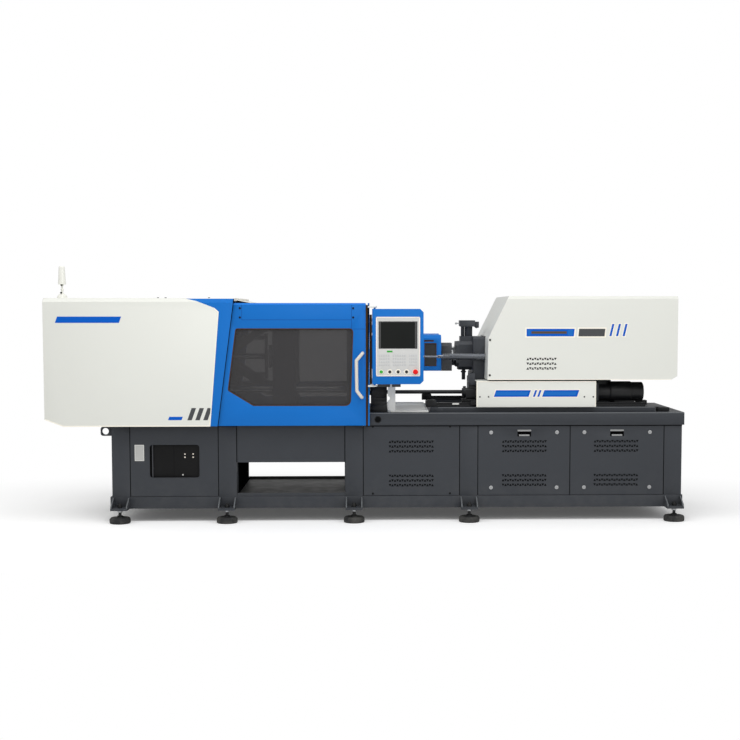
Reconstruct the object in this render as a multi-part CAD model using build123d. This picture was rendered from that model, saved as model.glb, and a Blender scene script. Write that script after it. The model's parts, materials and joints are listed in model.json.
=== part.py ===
from build123d import *
import os
from math import atan2, cos, degrees, hypot, radians, sin, sqrt

# Injection moulding machine: a double-toggle clamp on the left and a screw injection unit on the right,
# both on one welded bed. Millimetres. X runs from the clamp end to the injection end, Y from the
# operator's side to the rear, and Z up. The origin is on the floor, under the middle of the machine.

# Whole machine
HALF_LENGTH = 2485.0
AXIS_Z = 1275.0
SHEET = 4.0
GAP = 3.0

# Welded bed
POST_X = (-1925.0, -1097.0, -110.0, 789.0, 2400.0)
POST_WIDTH = 140.0
POST_DEPTH = 80.0
BED_Y = 545.0
POST_INNER_Y = BED_Y - POST_DEPTH
SILL_Z = (103.0, 196.0)
SILL_Y = 550.0
SILL_X = (-2010.0, 2480.0)
PANEL_TOP_Z = 748.0
APRON_BOTTOM_Z = 463.0
CHUTE_TOP_Z = 640.0
CHUTE_TRAY_Y = 540.0
BED_WINDOW_X = (-1701.0, -1316.0)
BED_WINDOW_Z = (346.0, 602.0)
DECK_RAIL_Z = (751.0, 842.0)
DECK_RAIL_Y = 560.0
DECK_TOP_Z = 850.0
DECK_START_X = -17.0
CABLE_HOLE = (77.0, 798.0)
CABLE_HOLE_RADIUS = 23.5
LUG_Y = (-522.0, -508.0)
LUG_Z = (672.0, 744.0)
SHACKLE_RADIUS = 25.5
CLAMP_BEAM_Y = (250.0, 350.0)
CLAMP_BEAM_Z = (745.0, 835.0)

# Levelling feet
FOOT_Y = 615.0
PAD_RADIUS = 81.0
PAD_HEIGHT = 46.0
STUD_RADIUS = 12.0
STUD_TOP_Z = 152.0
FOOT_PLATE_Z = (103.0, 121.0)

# Clamp unit
PLATEN_HALF_WIDTH = 330.0
PLATEN_HALF_HEIGHT = 350.0
PLATEN_FOOT_Z = 835.3
TIE_BAR_SPACING = 500.0
TIE_BAR_RADIUS = 35.0
RUNNING_FIT = 0.05
FIXED_FACE_X = -168.0
FIXED_BACK_X = 0.0
MOULD_FACE_OPEN_X = -577.0
MOVING_PLATEN_DEPTH = 180.0
REAR_PLATEN_X = (-1295.0, -1125.0)
TIE_BAR_START_X = -1720.0
LOCATING_RADIUS = 62.5
LOCATING_DEPTH = 20.0
MOULD_BOLT_Y = 140.0
MOULD_BOLT_Z = (140.0, 280.0)
MOULD_BOLT_RADIUS = 8.0
MOULD_BOLT_DEPTH = 45.0

# Double toggle: each half has a rear link, a front link and a crosshead link
REAR_LINK = 238.0
FRONT_LINK = 362.0
CROSSHEAD_LINK = 130.0
CROSSHEAD_ARM = 150.0
CROSSHEAD_ARM_ANGLE = 25.0
OPEN_ANGLE = 100.0
SHUT_ANGLE = 1.5
REAR_PIN_Z = 285.0
FRONT_PIN_Z = 255.0
CROSSHEAD_PIN_Z = 90.0
FRONT_PIN_BEHIND_FACE = 230.0
LINK_PIN_RADIUS = 20.0
LINK_END_RADIUS = 38.0

# Covers and gates
COVER_Y = 650.0
COVER_TOP_Z = 1742.0
COVER_BOTTOM_Z = 754.0
COVER_CHAMFER = 30.0
GATE_Y = (595.0, 625.0)
GATE_X = (-1190.0, -17.0)
GATE_Z = (756.0, 1704.0)
GATE_WINDOW = ((-1020.0, 1509.0), (-112.0, 1509.0), (-133.0, 909.0), (-886.0, 910.0), (-1083.0, 1030.0))
GATE_WINDOW_RADII = (18.0, 30.0, 45.0, 18.0, 18.0)

# Operator panel
PANEL_X = (33.0, 428.0)
PANEL_Z = (1080.0, 1659.0)
PANEL_Y = (-690.0, -612.0)
BEZEL_X = (62.0, 401.0)
BEZEL_Z = (1142.0, 1598.0)
BEZEL_DEPTH = 4.0
SCREEN_X = (99.0, 361.0)
SCREEN_Z = (1356.0, 1553.0)
PANEL_PIVOT = (52.0, -650.0)
HINGE_GAP = 9.0
HINGE_PLATE = 12.0
HINGE_RADIUS = 18.0
HINGE_PIN_RADIUS = 8.0
HINGE_PIN_DEPTH = 22.0
CONTROL_X = (102.0, 168.0, 232.0, 297.0, 365.0)
CONTROL_Z = 1176.0

# Injection unit
CARRIAGE_X = (850.0, 1792.0)
CARRIAGE_Z = (890.0, 1094.0)
CARRIAGE_Y = 520.0
HOOD_X = (935.0, 2431.0)
HOOD_Z = (1104.0, 1759.0)
HOOD_Y = 530.0
BEAM_X = (490.0, 2270.0)
BEAM_Y = (380.0, 480.0)
BEAM_TOP_Z = 888.0
RAIL_Y = 430.0
RAIL_TOP_Z = 922.0
RAIL_HALF = 15.0
DRIVE_Y = -330.0
DRIVE_Z = 1000.0
DRIVE_ROD_RADIUS = 15.0
TOUCH_Y = 280.0
TOUCH_Z = 1279.0
TOUCH_ROD_RADIUS = 14.0
SCREW_RADIUS = 21.0
BARREL_RADIUS = 55.0
NOZZLE_BORE = 3.0
GUIDE_BAR_Y = 180.0
GUIDE_BAR_RADIUS = 25.0
SLED_PLATE_Z = (1058.0, 1086.0)


def block(x, y, z):
    """Box between two limits on each axis."""
    centre = Pos((x[0] + x[1]) / 2, (y[0] + y[1]) / 2, (z[0] + z[1]) / 2)
    return centre * Box(abs(x[1] - x[0]), abs(y[1] - y[0]), abs(z[1] - z[0]))


def rod_x(x, y, z, radius):
    """Round bar along X between two limits."""
    return Pos((x[0] + x[1]) / 2, y, z) * Rot(0, 90, 0) * Cylinder(radius, abs(x[1] - x[0]))


def rod_y(x, y, z, radius):
    """Round bar along Y between two limits."""
    return Pos(x, (y[0] + y[1]) / 2, z) * Rot(90, 0, 0) * Cylinder(radius, abs(y[1] - y[0]))


def rod_z(x, y, z, radius):
    """Round bar along Z between two limits."""
    return Pos(x, y, (z[0] + z[1]) / 2) * Cylinder(radius, abs(z[1] - z[0]))


def prism_y(outline, y):
    """Solid with an outline of (x, z) points, between two limits on Y."""
    face = make_face(Polyline(*[(u, y[0], v) for u, v in outline], close=True))
    return extrude(face, amount=y[1] - y[0], dir=(0, 1, 0))


def prism_x(outline, x):
    """Solid with an outline of (y, z) points, between two limits on X."""
    face = make_face(Polyline(*[(x[0], u, v) for u, v in outline], close=True))
    return extrude(face, amount=x[1] - x[0], dir=(1, 0, 0))


def turned_x(outline, y, z):
    """Solid of revolution about a line along X, from an outline of (x, radius) points."""
    face = make_face(Polyline(*[(u, 0, v) for u, v in outline], close=True))
    return Pos(0, y, z) * revolve(face, axis=Axis.X)


def turned_z(outline, x, y):
    """Solid of revolution about a vertical line, from an outline of (radius, z) points."""
    face = make_face(Polyline(*[(u, 0, v) for u, v in outline], close=True))
    return Pos(x, y, 0) * revolve(face, axis=Axis.Z)


def rounded(solid, axis, spots, radii):
    """Round the edges along an axis that lie nearest to the given spots in the other two axes."""
    pick = {Axis.X: ("Y", "Z"), Axis.Y: ("X", "Z"), Axis.Z: ("X", "Y")}[axis]
    for spot, radius in zip(spots, radii):
        edges = solid.edges().filter_by(axis)
        edge = min(edges, key=lambda e: hypot(
            getattr(e.center(), pick[0]) - spot[0],
            getattr(e.center(), pick[1]) - spot[1],
        ))
        solid = fillet(edge, radius)
    return solid


def both_sides(solid):
    """The solid and its mirror image on the other side of the machine."""
    return [solid, mirror(solid, about=Plane.XZ)]


def write(name, *solids):
    """Write one sub-part, as one solid or as a group of separate solids."""
    parts = []
    for solid in solids:
        parts.extend(solid.solids())
    shape = parts[0] if len(parts) == 1 else Compound(children=parts)
    export_step(shape, f"parts/{name}.step")


# Toggle geometry

def on_circle(centre, radius, angle):
    """Point at an angle below the forward direction, seen from the operator's side."""
    return (centre[0] + radius * cos(radians(angle)), centre[1] - radius * sin(radians(angle)))


FRONT_PIN_OPEN = (MOULD_FACE_OPEN_X - FRONT_PIN_BEHIND_FACE, FRONT_PIN_Z)
KNEE_DROP = REAR_PIN_Z - REAR_LINK * sin(radians(OPEN_ANGLE))
KNEE_REACH = sqrt(FRONT_LINK ** 2 - (FRONT_PIN_Z - KNEE_DROP) ** 2)
REAR_PIN = (FRONT_PIN_OPEN[0] - KNEE_REACH - REAR_LINK * cos(radians(OPEN_ANGLE)), REAR_PIN_Z)


def toggle(angle):
    """Places of the knee, the front pin, the arm pin and the crosshead pin at a rear-link angle."""
    knee = on_circle(REAR_PIN, REAR_LINK, angle)
    front = (knee[0] + sqrt(FRONT_LINK ** 2 - (FRONT_PIN_Z - knee[1]) ** 2), FRONT_PIN_Z)
    arm = on_circle(REAR_PIN, CROSSHEAD_ARM, angle + CROSSHEAD_ARM_ANGLE)
    side = -1.0 if angle > 45.0 else 1.0
    reach = sqrt(CROSSHEAD_LINK ** 2 - (arm[1] - CROSSHEAD_PIN_Z) ** 2)
    return knee, front, arm, (arm[0] + side * reach, CROSSHEAD_PIN_Z)


KNEE, FRONT_PIN, ARM_PIN, CROSSHEAD_PIN = toggle(OPEN_ANGLE)
KNEE_SHUT, FRONT_PIN_SHUT, ARM_PIN_SHUT, CROSSHEAD_PIN_SHUT = toggle(SHUT_ANGLE)
STROKE = FRONT_PIN_SHUT[0] - FRONT_PIN[0]
CROSSHEAD_STROKE = CROSSHEAD_PIN_SHUT[0] - CROSSHEAD_PIN[0]


def slope(start, end):
    """Angle of the line from start to end, in degrees, from +X towards +Z."""
    return degrees(atan2(end[1] - start[1], end[0] - start[0]))


REAR_TURN = OPEN_ANGLE - SHUT_ANGLE
FRONT_TURN = (slope(FRONT_PIN, KNEE) % 360) - (slope(FRONT_PIN_SHUT, KNEE_SHUT) % 360)
CROSSHEAD_TURN = slope(CROSSHEAD_PIN_SHUT, ARM_PIN_SHUT) - slope(CROSSHEAD_PIN, ARM_PIN)
print("toggle pins (x, height over the axis):", REAR_PIN, FRONT_PIN, CROSSHEAD_PIN)
print("strokes in mm:", STROKE, CROSSHEAD_STROKE)
print("link turns in degrees:", REAR_TURN, FRONT_TURN, CROSSHEAD_TURN)


# Bed

def foot_bracket(x):
    """Plate that takes a levelling bolt, with two gussets up to the sill."""
    half = 65.0
    gusset = 10.0
    front = -FOOT_Y - 60
    low = FOOT_PLATE_Z[1]
    high = SILL_Z[1] - 6
    plate = block((x - half, x + half), (front, -SILL_Y), FOOT_PLATE_Z)
    outline = [(-SILL_Y, low), (front + 5, low), (front + 5, low + 14), (-SILL_Y - 12, high),
               (-SILL_Y, high)]
    for side in (-half, half - gusset):
        plate += prism_x(outline, (x + side, x + side + gusset))
    return plate - rod_z(x, -FOOT_Y, FOOT_PLATE_Z, STUD_RADIUS + 1)


def lifting_lug():
    """Plate with a shackle hole beside the first post."""
    x = (POST_X[0] - POST_WIDTH / 2 - 88, POST_X[0] - POST_WIDTH / 2)
    plate = rounded(block(x, LUG_Y, LUG_Z), Axis.Y, ((x[0], LUG_Z[0]), (x[0], LUG_Z[1])), (20, 20))
    return plate - rod_y(x[1] - 50, LUG_Y, (LUG_Z[0] + LUG_Z[1]) / 2, SHACKLE_RADIUS)


def base_frame():
    """Posts, sills, cross members, deck rails, clamp beams, foot brackets and lifting lugs."""
    solids = []
    half = POST_WIDTH / 2
    for x in POST_X:
        top = DECK_RAIL_Z[0] if x > 0 else CLAMP_BEAM_Z[0]
        solids += both_sides(block((x - half, x + half), (-BED_Y, -POST_INNER_Y), (SILL_Z[1], top)))
        solids.append(block((x - 40, x + 40), (-470, 470), (SILL_Z[0] + 10, SILL_Z[1] - 10)))
        solids += both_sides(foot_bracket(x))
        if x < 0:
            solids.append(block((x - 40, x + 40), (-POST_INNER_Y, POST_INNER_Y), (645, CLAMP_BEAM_Z[0])))
    solids += both_sides(block(SILL_X, (-SILL_Y, -470), SILL_Z))
    rails = both_sides(block((DECK_START_X, HALF_LENGTH), (-DECK_RAIL_Y, -470), DECK_RAIL_Z))
    hole_y = (-DECK_RAIL_Y - 1, -DECK_RAIL_Y + 50)
    cable_hole = rod_y(CABLE_HOLE[0], hole_y, CABLE_HOLE[1], CABLE_HOLE_RADIUS)
    solids += [rails[0] - cable_hole, rails[1]]
    for x in (FIXED_BACK_X + 2, HALF_LENGTH - 82):
        solids.append(block((x, x + 80), (-470, 470), DECK_RAIL_Z))
    solids += both_sides(block((-1990, FIXED_BACK_X + 1), CLAMP_BEAM_Y, CLAMP_BEAM_Z))
    solids += both_sides(lifting_lug())
    return solids


STUD_SEAT = 12.0
LOCK_NUT = (20.0, 18.0)


def levelling_bolt(x):
    """Threaded stud with a collar on the pad and lock nuts under and over the bracket."""
    bolt = rod_z(x, -FOOT_Y, (PAD_HEIGHT - STUD_SEAT, STUD_TOP_Z), STUD_RADIUS)
    low = PAD_HEIGHT
    high = PAD_HEIGHT + 14
    bolt += turned_z([(0, low), (30, low), (20, high), (0, high)], x, -FOOT_Y)
    for z in (FOOT_PLATE_Z[0] - LOCK_NUT[1], FOOT_PLATE_Z[1]):
        bolt += Pos(x, -FOOT_Y, z) * extrude(RegularPolygon(LOCK_NUT[0], 6), amount=LOCK_NUT[1])
    return bolt


def levelling_pad(x):
    """Round rubber-faced pad with a socket for the stud."""
    profile = [(0, 0), (PAD_RADIUS - 5, 0), (PAD_RADIUS, 6), (PAD_RADIUS, 34), (PAD_RADIUS - 10, PAD_HEIGHT),
               (0, PAD_HEIGHT)]
    seat = rod_z(x, -FOOT_Y, (PAD_HEIGHT - STUD_SEAT - 1, PAD_HEIGHT + 1), STUD_RADIUS)
    return turned_z(profile, x, -FOOT_Y) - seat


VENT_HOLE = (22.0, 19.0)
VENT_PITCH = (19.6, 37.0)
VENT_ROWS = 3
DOOR_VENT_COLUMNS = 18
DOOR_VENTS = ((279.0, 1), (547.0, 0))


def vent_hole(x, z, up, y):
    """Triangular hole through a sheet, with its point up or down."""
    half = VENT_HOLE[0] / 2
    rise = VENT_HOLE[1] / 2 if up else -VENT_HOLE[1] / 2
    return prism_y([(x - half, z - rise), (x + half, z - rise), (x, z + rise)], y)


def vent(x0, z0, columns, y, first):
    """Rows of holes that point up and down by turns, from the lowest left one; first turns them over."""
    holes = []
    for row in range(VENT_ROWS):
        for column in range(columns):
            up = (row + column + first) % 2 == 0
            holes.append(vent_hole(x0 + column * VENT_PITCH[0], z0 + row * VENT_PITCH[1], up, y))
    return holes


def bed_panel(x, vent_x=None):
    """Sheet between two posts on the operator's side, with two vents that start at vent_x."""
    sheet = block(x, (-BED_Y + 1, -BED_Y + 1 + SHEET), (SILL_Z[1] + GAP, PANEL_TOP_Z))
    if vent_x is None:
        return sheet
    cut_y = (-BED_Y, -BED_Y + 2 + SHEET)
    holes = []
    for z, first in DOOR_VENTS:
        holes += vent(vent_x, z, DOOR_VENT_COLUMNS, cut_y, first)
    return sheet - holes


def window_panel():
    """Sheet in front of the drive cabinet, with a rounded window."""
    x = (POST_X[0] + 70 + GAP, POST_X[1] - 70 - GAP)
    window = block(BED_WINDOW_X, (-BED_Y - 1, -BED_Y + 2 + SHEET), BED_WINDOW_Z)
    corners = [(u, v) for u in BED_WINDOW_X for v in BED_WINDOW_Z]
    return bed_panel(x) - rounded(window, Axis.Y, corners, (22,) * 4)


PULL_Z = (657.0, 718.0)
PULL_HALF = 58.0
PULL_DEPTH = 30.0
PULL_WALL = 4.0


def access_door(x, pull_x, vent_x):
    """Lift-off door with a flush pull, two vents and four holes for its latches."""
    door = bed_panel(x, vent_x)
    face = -BED_Y + 1
    cup = block((pull_x - PULL_HALF, pull_x + PULL_HALF), (face, face + PULL_DEPTH), PULL_Z)
    inner = PULL_HALF - PULL_WALL
    pocket_z = (PULL_Z[0] + PULL_WALL, PULL_Z[1] - PULL_WALL)
    pocket = block((pull_x - inner, pull_x + inner), (face - 1, face + PULL_DEPTH - PULL_WALL), pocket_z)
    door = door + cup - pocket
    for latch_x, z in latch_places(x):
        door -= rod_y(latch_x, (-BED_Y - 1, -BED_Y + 2 + SHEET), z, LATCH_HOLE_RADIUS)
    return door


def latch_places(x):
    """Places of the four latches of a door."""
    middle = (x[0] + x[1]) / 2
    return [(middle + side * 259, z) for side in (-1, 1) for z in (258, 693)]


LATCH_HOLE_RADIUS = 8.0
DOOR_X = ((POST_X[3] + 70 + GAP, 1585.0), (1588.0, POST_X[4] - 70 - GAP))


def latch(x, z):
    """Quarter-turn latch: a domed head, a shank and a cam behind the door."""
    head = rod_y(x, (-BED_Y - 3, -BED_Y + 1), z, 15)
    slot = block((x - 9, x + 9), (-BED_Y - 4, -BED_Y - 1), (z - 1.5, z + 1.5))
    return head + rod_y(x, (-BED_Y, -BED_Y + 20), z, LATCH_HOLE_RADIUS - 0.1) - slot


def drop_chute():
    """Aprons on both sides of the part-drop bay, its two inner walls and the tray on the sills."""
    bay = (POST_X[1] + 71, POST_X[2] - 71)
    wall = 3.0
    rim = SILL_Z[1] + 26
    apron = block((bay[0] + 2, bay[1] - 2), (-BED_Y + 4, -BED_Y + 4 + SHEET), (APRON_BOTTOM_Z, PANEL_TOP_Z))
    sides = []
    for x in (bay[0], bay[1] - SHEET):
        sides.append(block((x, x + SHEET), (-POST_INNER_Y, POST_INNER_Y), (rim + 2, CHUTE_TOP_Z)))
    tray = block(bay, (-CHUTE_TRAY_Y, CHUTE_TRAY_Y), (SILL_Z[1], rim))
    inner_y = CHUTE_TRAY_Y - wall
    tray -= block((bay[0] + wall, bay[1] - wall), (-inner_y, inner_y), (SILL_Z[1] + wall, rim + 1))
    return both_sides(apron) + sides + [tray]


def bed_nodes():
    """Everything that is bolted to the bed below the deck."""
    write("base_frame", *base_frame())
    bolts = []
    pads = []
    for x in POST_X:
        bolts += both_sides(levelling_bolt(x))
        pads += both_sides(levelling_pad(x))
    write("levelling_bolts", *bolts)
    write("levelling_pads", *pads)
    deck_x = (FIXED_BACK_X + 1, HALF_LENGTH)
    write("injection_deck", block(deck_x, (-DECK_RAIL_Y, DECK_RAIL_Y), (DECK_RAIL_Z[1], DECK_TOP_Z)))
    write("window_panel", window_panel())
    cabinet = block((-1820, -1230), (-520, -60), (260, 640))
    write("drive_cabinet", chamfer(cabinet.edges().filter_by(Axis.Z), 8))
    write("drop_chute", *drop_chute())
    vent_x = (POST_X[2] + 70 + GAP, POST_X[3] - 70 - GAP)
    write("vent_panel", bed_panel(vent_x, 171))
    doors = [access_door(DOOR_X[0], 1225.5, 1060), access_door(DOOR_X[1], 1957.5, 1784)]
    write("access_doors", *doors)
    latches = [latch(x, z) for door in DOOR_X for x, z in latch_places(door)]
    write("door_latches", *latches)
    rear = []
    for left, right in ((0, 1), (2, 3), (3, 4)):
        x = (POST_X[left] + 70 + GAP, POST_X[right] - 70 - GAP)
        rear.append(mirror(bed_panel(x), about=Plane.XZ))
    end_y = (-POST_INNER_Y + GAP, POST_INNER_Y - GAP)
    rear.append(block((POST_X[0] - 69, POST_X[0] - 65), end_y, (SILL_Z[1] + GAP, 742)))
    rear.append(block((POST_X[4] + 65, POST_X[4] + 69), end_y, (SILL_Z[1] + GAP, PANEL_TOP_Z)))
    write("rear_panels", *rear)


# Clamp unit

def tie_bar_places():
    """Places of the four tie bars about the machine's axis."""
    half = TIE_BAR_SPACING / 2
    return [(y, AXIS_Z + z) for y in (-half, half) for z in (-half, half)]


def platen_block(x, foot_z):
    """Chamfered platen casting with two feet and four tie-bar bores."""
    low = AXIS_Z - PLATEN_HALF_HEIGHT
    body = block(x, (-PLATEN_HALF_WIDTH, PLATEN_HALF_WIDTH), (low, AXIS_Z + PLATEN_HALF_HEIGHT))
    body = chamfer(body.edges().filter_by(Axis.X), 45)
    for foot in both_sides(block(x, (-PLATEN_HALF_WIDTH + 5, -235), (foot_z, low + 60))):
        body += foot
    for y, z in tie_bar_places():
        body -= rod_x((x[0] - 1, x[1] + 1), y, z, TIE_BAR_RADIUS + RUNNING_FIT)
    return body


def mould_bolt_holes(face_x, direction):
    """Tapped holes for mould clamps, from the mould face into the platen."""
    holes = []
    for z in MOULD_BOLT_Z:
        for y in (-MOULD_BOLT_Y, MOULD_BOLT_Y):
            for sign in (-1, 1):
                ends = sorted((face_x - direction, face_x + direction * MOULD_BOLT_DEPTH))
                holes.append(rod_x(ends, y, AXIS_Z + sign * z, MOULD_BOLT_RADIUS))
    return holes


def fixed_platen():
    """Platen on the nozzle side, with the locating bore and the nozzle's conical mouth."""
    body = platen_block((FIXED_FACE_X, FIXED_BACK_X), CLAMP_BEAM_Z[1])
    bore = turned_x([
        (FIXED_FACE_X - 1, 0),
        (FIXED_FACE_X - 1, LOCATING_RADIUS),
        (FIXED_FACE_X + LOCATING_DEPTH, LOCATING_RADIUS),
        (FIXED_FACE_X + LOCATING_DEPTH, 42),
        (-80, 42),
        (FIXED_BACK_X + 1, 105),
        (FIXED_BACK_X + 1, 0),
    ], 0, AXIS_Z)
    body -= bore
    for hole in mould_bolt_holes(FIXED_FACE_X, 1):
        body -= hole
    return body


EJECTOR_PIN_PLACES = ((0, 0), (70, 0), (-70, 0), (0, 70), (0, -70))
EJECTOR_X = (-805.0, -787.0)
EJECTOR_HALF = 92.0


def ear(pin, root_x, root_z, y, radius):
    """Lug from a platen face out to a toggle pin; y gives the lug's two faces."""
    face = prism_y([(root_x, AXIS_Z + root_z[0]), (pin[0], AXIS_Z + pin[1] - radius),
                    (pin[0], AXIS_Z + pin[1] + radius), (root_x, AXIS_Z + root_z[1])], y)
    return face + rod_y(pin[0], y, AXIS_Z + pin[1], radius)


def four_ways(solid):
    """The solid above and below the axis, on both sides of the machine."""
    below = mirror(solid, about=Plane.XY.offset(AXIS_Z))
    return [solid, below, mirror(solid, about=Plane.XZ), mirror(below, about=Plane.XZ)]


def moving_platen():
    """Platen that carries the moving mould half, with the front toggle lugs and the ejector pocket."""
    back = MOULD_FACE_OPEN_X - MOVING_PLATEN_DEPTH
    body = platen_block((back, MOULD_FACE_OPEN_X), PLATEN_FOOT_Z)
    for y in ((105, 135), (169, 199)):
        for lug in four_ways(ear(FRONT_PIN, back + 5, (205, 310), y, 42)):
            body += lug
    body -= block((back - 1, back + 82), (-102, 102), (AXIS_Z - 102, AXIS_Z + 102))
    body -= rod_x((MOULD_FACE_OPEN_X - LOCATING_DEPTH, MOULD_FACE_OPEN_X + 1), 0, AXIS_Z, LOCATING_RADIUS)
    for y, z in EJECTOR_PIN_PLACES:
        body -= rod_x((back, MOULD_FACE_OPEN_X + 1), y, AXIS_Z + z, 13)
    for hole in mould_bolt_holes(MOULD_FACE_OPEN_X, -1):
        body -= hole
    pins = four_ways(rod_y(FRONT_PIN[0], (106, 198), AXIS_Z + FRONT_PIN[1], LINK_PIN_RADIUS))
    for pin in pins:
        body -= pin
    return [body] + pins


def rear_platen():
    """Platen that takes the clamp force, with the rear toggle lugs and a window for the crosshead."""
    body = platen_block(REAR_PLATEN_X, PLATEN_FOOT_Z)
    body -= block((REAR_PLATEN_X[0] - 1, REAR_PLATEN_X[1] + 1), (-180, 180), (AXIS_Z - 238, AXIS_Z + 238))
    root = REAR_PLATEN_X[1] - 5
    for y in ((60, 93), (137, 170)):
        for lug in four_ways(ear(REAR_PIN, root, (238, 345), y, 42)):
            body += lug
    pins = four_ways(rod_y(REAR_PIN[0], (61, 169), AXIS_Z + REAR_PIN[1], LINK_PIN_RADIUS))
    for pin in pins:
        body -= pin
    return [body] + pins


def bar_between(start, end, width, y):
    """Flat bar along the line between two pins."""
    middle = ((start[0] + end[0]) / 2, (y[0] + y[1]) / 2, AXIS_Z + (start[1] + end[1]) / 2)
    length = hypot(end[0] - start[0], end[1] - start[1])
    return Pos(*middle) * Rot(0, -slope(start, end), 0) * Box(length, y[1] - y[0], width)


def link(start, end, radius, width, y, start_bore, end_bore):
    """Toggle link with a round eye at each pin."""
    body = bar_between(start, end, width, y)
    for pin in (start, end):
        body += rod_y(pin[0], y, AXIS_Z + pin[1], radius)
    for pin, bore in ((start, start_bore), (end, end_bore)):
        if bore:
            body -= rod_y(pin[0], (y[0] - 1, y[1] + 1), AXIS_Z + pin[1], bore)
    return body


def rear_link():
    """Three-eyed rear link: the platen pin, the knee and the arm for the crosshead link."""
    y = (95, 135)
    body = link(REAR_PIN, KNEE, LINK_END_RADIUS, 60, y, 0, 0)
    body += rod_y(ARM_PIN[0], y, AXIS_Z + ARM_PIN[1], 26)
    web = [REAR_PIN, KNEE, ARM_PIN]
    body += prism_y([(x, AXIS_Z + z) for x, z in web], y)
    body += bar_between(REAR_PIN, ARM_PIN, 36, y)
    body += bar_between(KNEE, ARM_PIN, 36, y)
    body -= rod_y(REAR_PIN[0], (90, 140), AXIS_Z + REAR_PIN[1], LINK_PIN_RADIUS + RUNNING_FIT)
    return body - rod_y(KNEE[0], (90, 140), AXIS_Z + KNEE[1], LINK_PIN_RADIUS)


def front_link():
    """Two-eyed front link that carries the knee pin's head on its outer face."""
    y = (137, 167)
    body = link(KNEE, FRONT_PIN, LINK_END_RADIUS, 56, y, 0, LINK_PIN_RADIUS + RUNNING_FIT)
    return body + rod_y(KNEE[0], (y[1] - 1, y[1] + 6), AXIS_Z + KNEE[1], 26)


def crosshead_link():
    """Short link from the crosshead to the rear link's arm."""
    y = (58, 93)
    return link(CROSSHEAD_PIN, ARM_PIN, 24, 34, y, 15 + RUNNING_FIT, 0)


GUIDE_Z = 150.0
GUIDE_RADIUS = 18.0
BALL_SCREW_RADIUS = 25.0
CROSSHEAD_HALF_DEPTH = 32.0
NUT_NOSE = 30.0
HOUSING_FRONT_X = REAR_PLATEN_X[0]
GUIDE_END_X = -820.0


def crosshead():
    """Crosshead with its ball nut, two guide bushes and the four link pins."""
    x = (CROSSHEAD_PIN[0] - CROSSHEAD_HALF_DEPTH, CROSSHEAD_PIN[0] + CROSSHEAD_HALF_DEPTH)
    body = block(x, (-54, 54), (AXIS_Z - 188, AXIS_Z + 188))
    body = chamfer(body.edges().filter_by(Axis.Y), 12)
    body += rod_x((x[1] - 1, x[1] + NUT_NOSE), 0, AXIS_Z, 48)
    body -= rod_x((x[0] - 1, x[1] + NUT_NOSE + 1), 0, AXIS_Z, BALL_SCREW_RADIUS + RUNNING_FIT)
    for z in (-GUIDE_Z, GUIDE_Z):
        body -= rod_x((x[0] - 1, x[1] + 1), 0, AXIS_Z + z, GUIDE_RADIUS + RUNNING_FIT)
    for z in (-CROSSHEAD_PIN_Z, CROSSHEAD_PIN_Z):
        body += rod_y(CROSSHEAD_PIN[0], (-93, 93), AXIS_Z + z, 15)
    return body


def crosshead_guides():
    """Screw housing behind the rear platen, two guide rods and the plate at their front ends."""
    back = HOUSING_FRONT_X - 28
    plate_x = (back, HOUSING_FRONT_X)
    plate = block(plate_x, (-205, 205), (AXIS_Z - 215, AXIS_Z + 215))
    plate = chamfer(plate.edges().filter_by(Axis.X), 45)
    profile = [(back - 92, 60), (back - 92, 105), (back - 12, 105), (back, 130), (back + 1, 130),
               (back + 1, 60)]
    housing = plate + turned_x(profile, 0, AXIS_Z) - rod_x((back - 100, plate_x[1] + 1), 0, AXIS_Z, 60)
    end = block((GUIDE_END_X - 20, GUIDE_END_X), (-45, 45), (AXIS_Z - 185, AXIS_Z + 185))
    end = chamfer(end.edges().filter_by(Axis.X), 15)
    end -= rod_x((GUIDE_END_X - 30, GUIDE_END_X + 1), 0, AXIS_Z, BALL_SCREW_RADIUS + RUNNING_FIT)
    rods = []
    for z in (-GUIDE_Z, GUIDE_Z):
        rod = rod_x((plate_x[0], GUIDE_END_X), 0, AXIS_Z + z, GUIDE_RADIUS)
        housing -= rod
        end -= rod
        rods.append(rod)
    return [housing, end] + rods


SCREW_START_X = HOUSING_FRONT_X - 118.0


def clamp_ball_screw():
    """Ball screw with its bearing seat and drive coupling inside the housing."""
    coupling = HOUSING_FRONT_X - 40
    end = GUIDE_END_X - 3
    profile = [(SCREW_START_X, 0), (SCREW_START_X, 55), (coupling, 55), (coupling, 35),
               (coupling + 20, BALL_SCREW_RADIUS), (end, BALL_SCREW_RADIUS), (end, 0)]
    return turned_x(profile, 0, AXIS_Z)


def servo_motor(x, y, z, radius, square):
    """Servo motor: square flange, ribbed round body, square end bell; x gives its front and back."""
    length = x[1] - x[0]
    flange = block((x[0], x[0] + 0.06 * length), (y - square, y + square), (z - square, z + square))
    flange = chamfer(flange.edges().filter_by(Axis.X), square * 0.2)
    body = turned_x([(x[0], 0), (x[0], radius * 0.9), (x[0] + 0.3 * length, radius * 0.9),
                     (x[0] + 0.33 * length, radius), (x[0] + 0.74 * length, radius),
                     (x[0] + 0.76 * length, radius * 0.93), (x[1] - 8, radius * 0.93), (x[1], radius * 0.8),
                     (x[1], 0)], y, z)
    return flange + body


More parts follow.
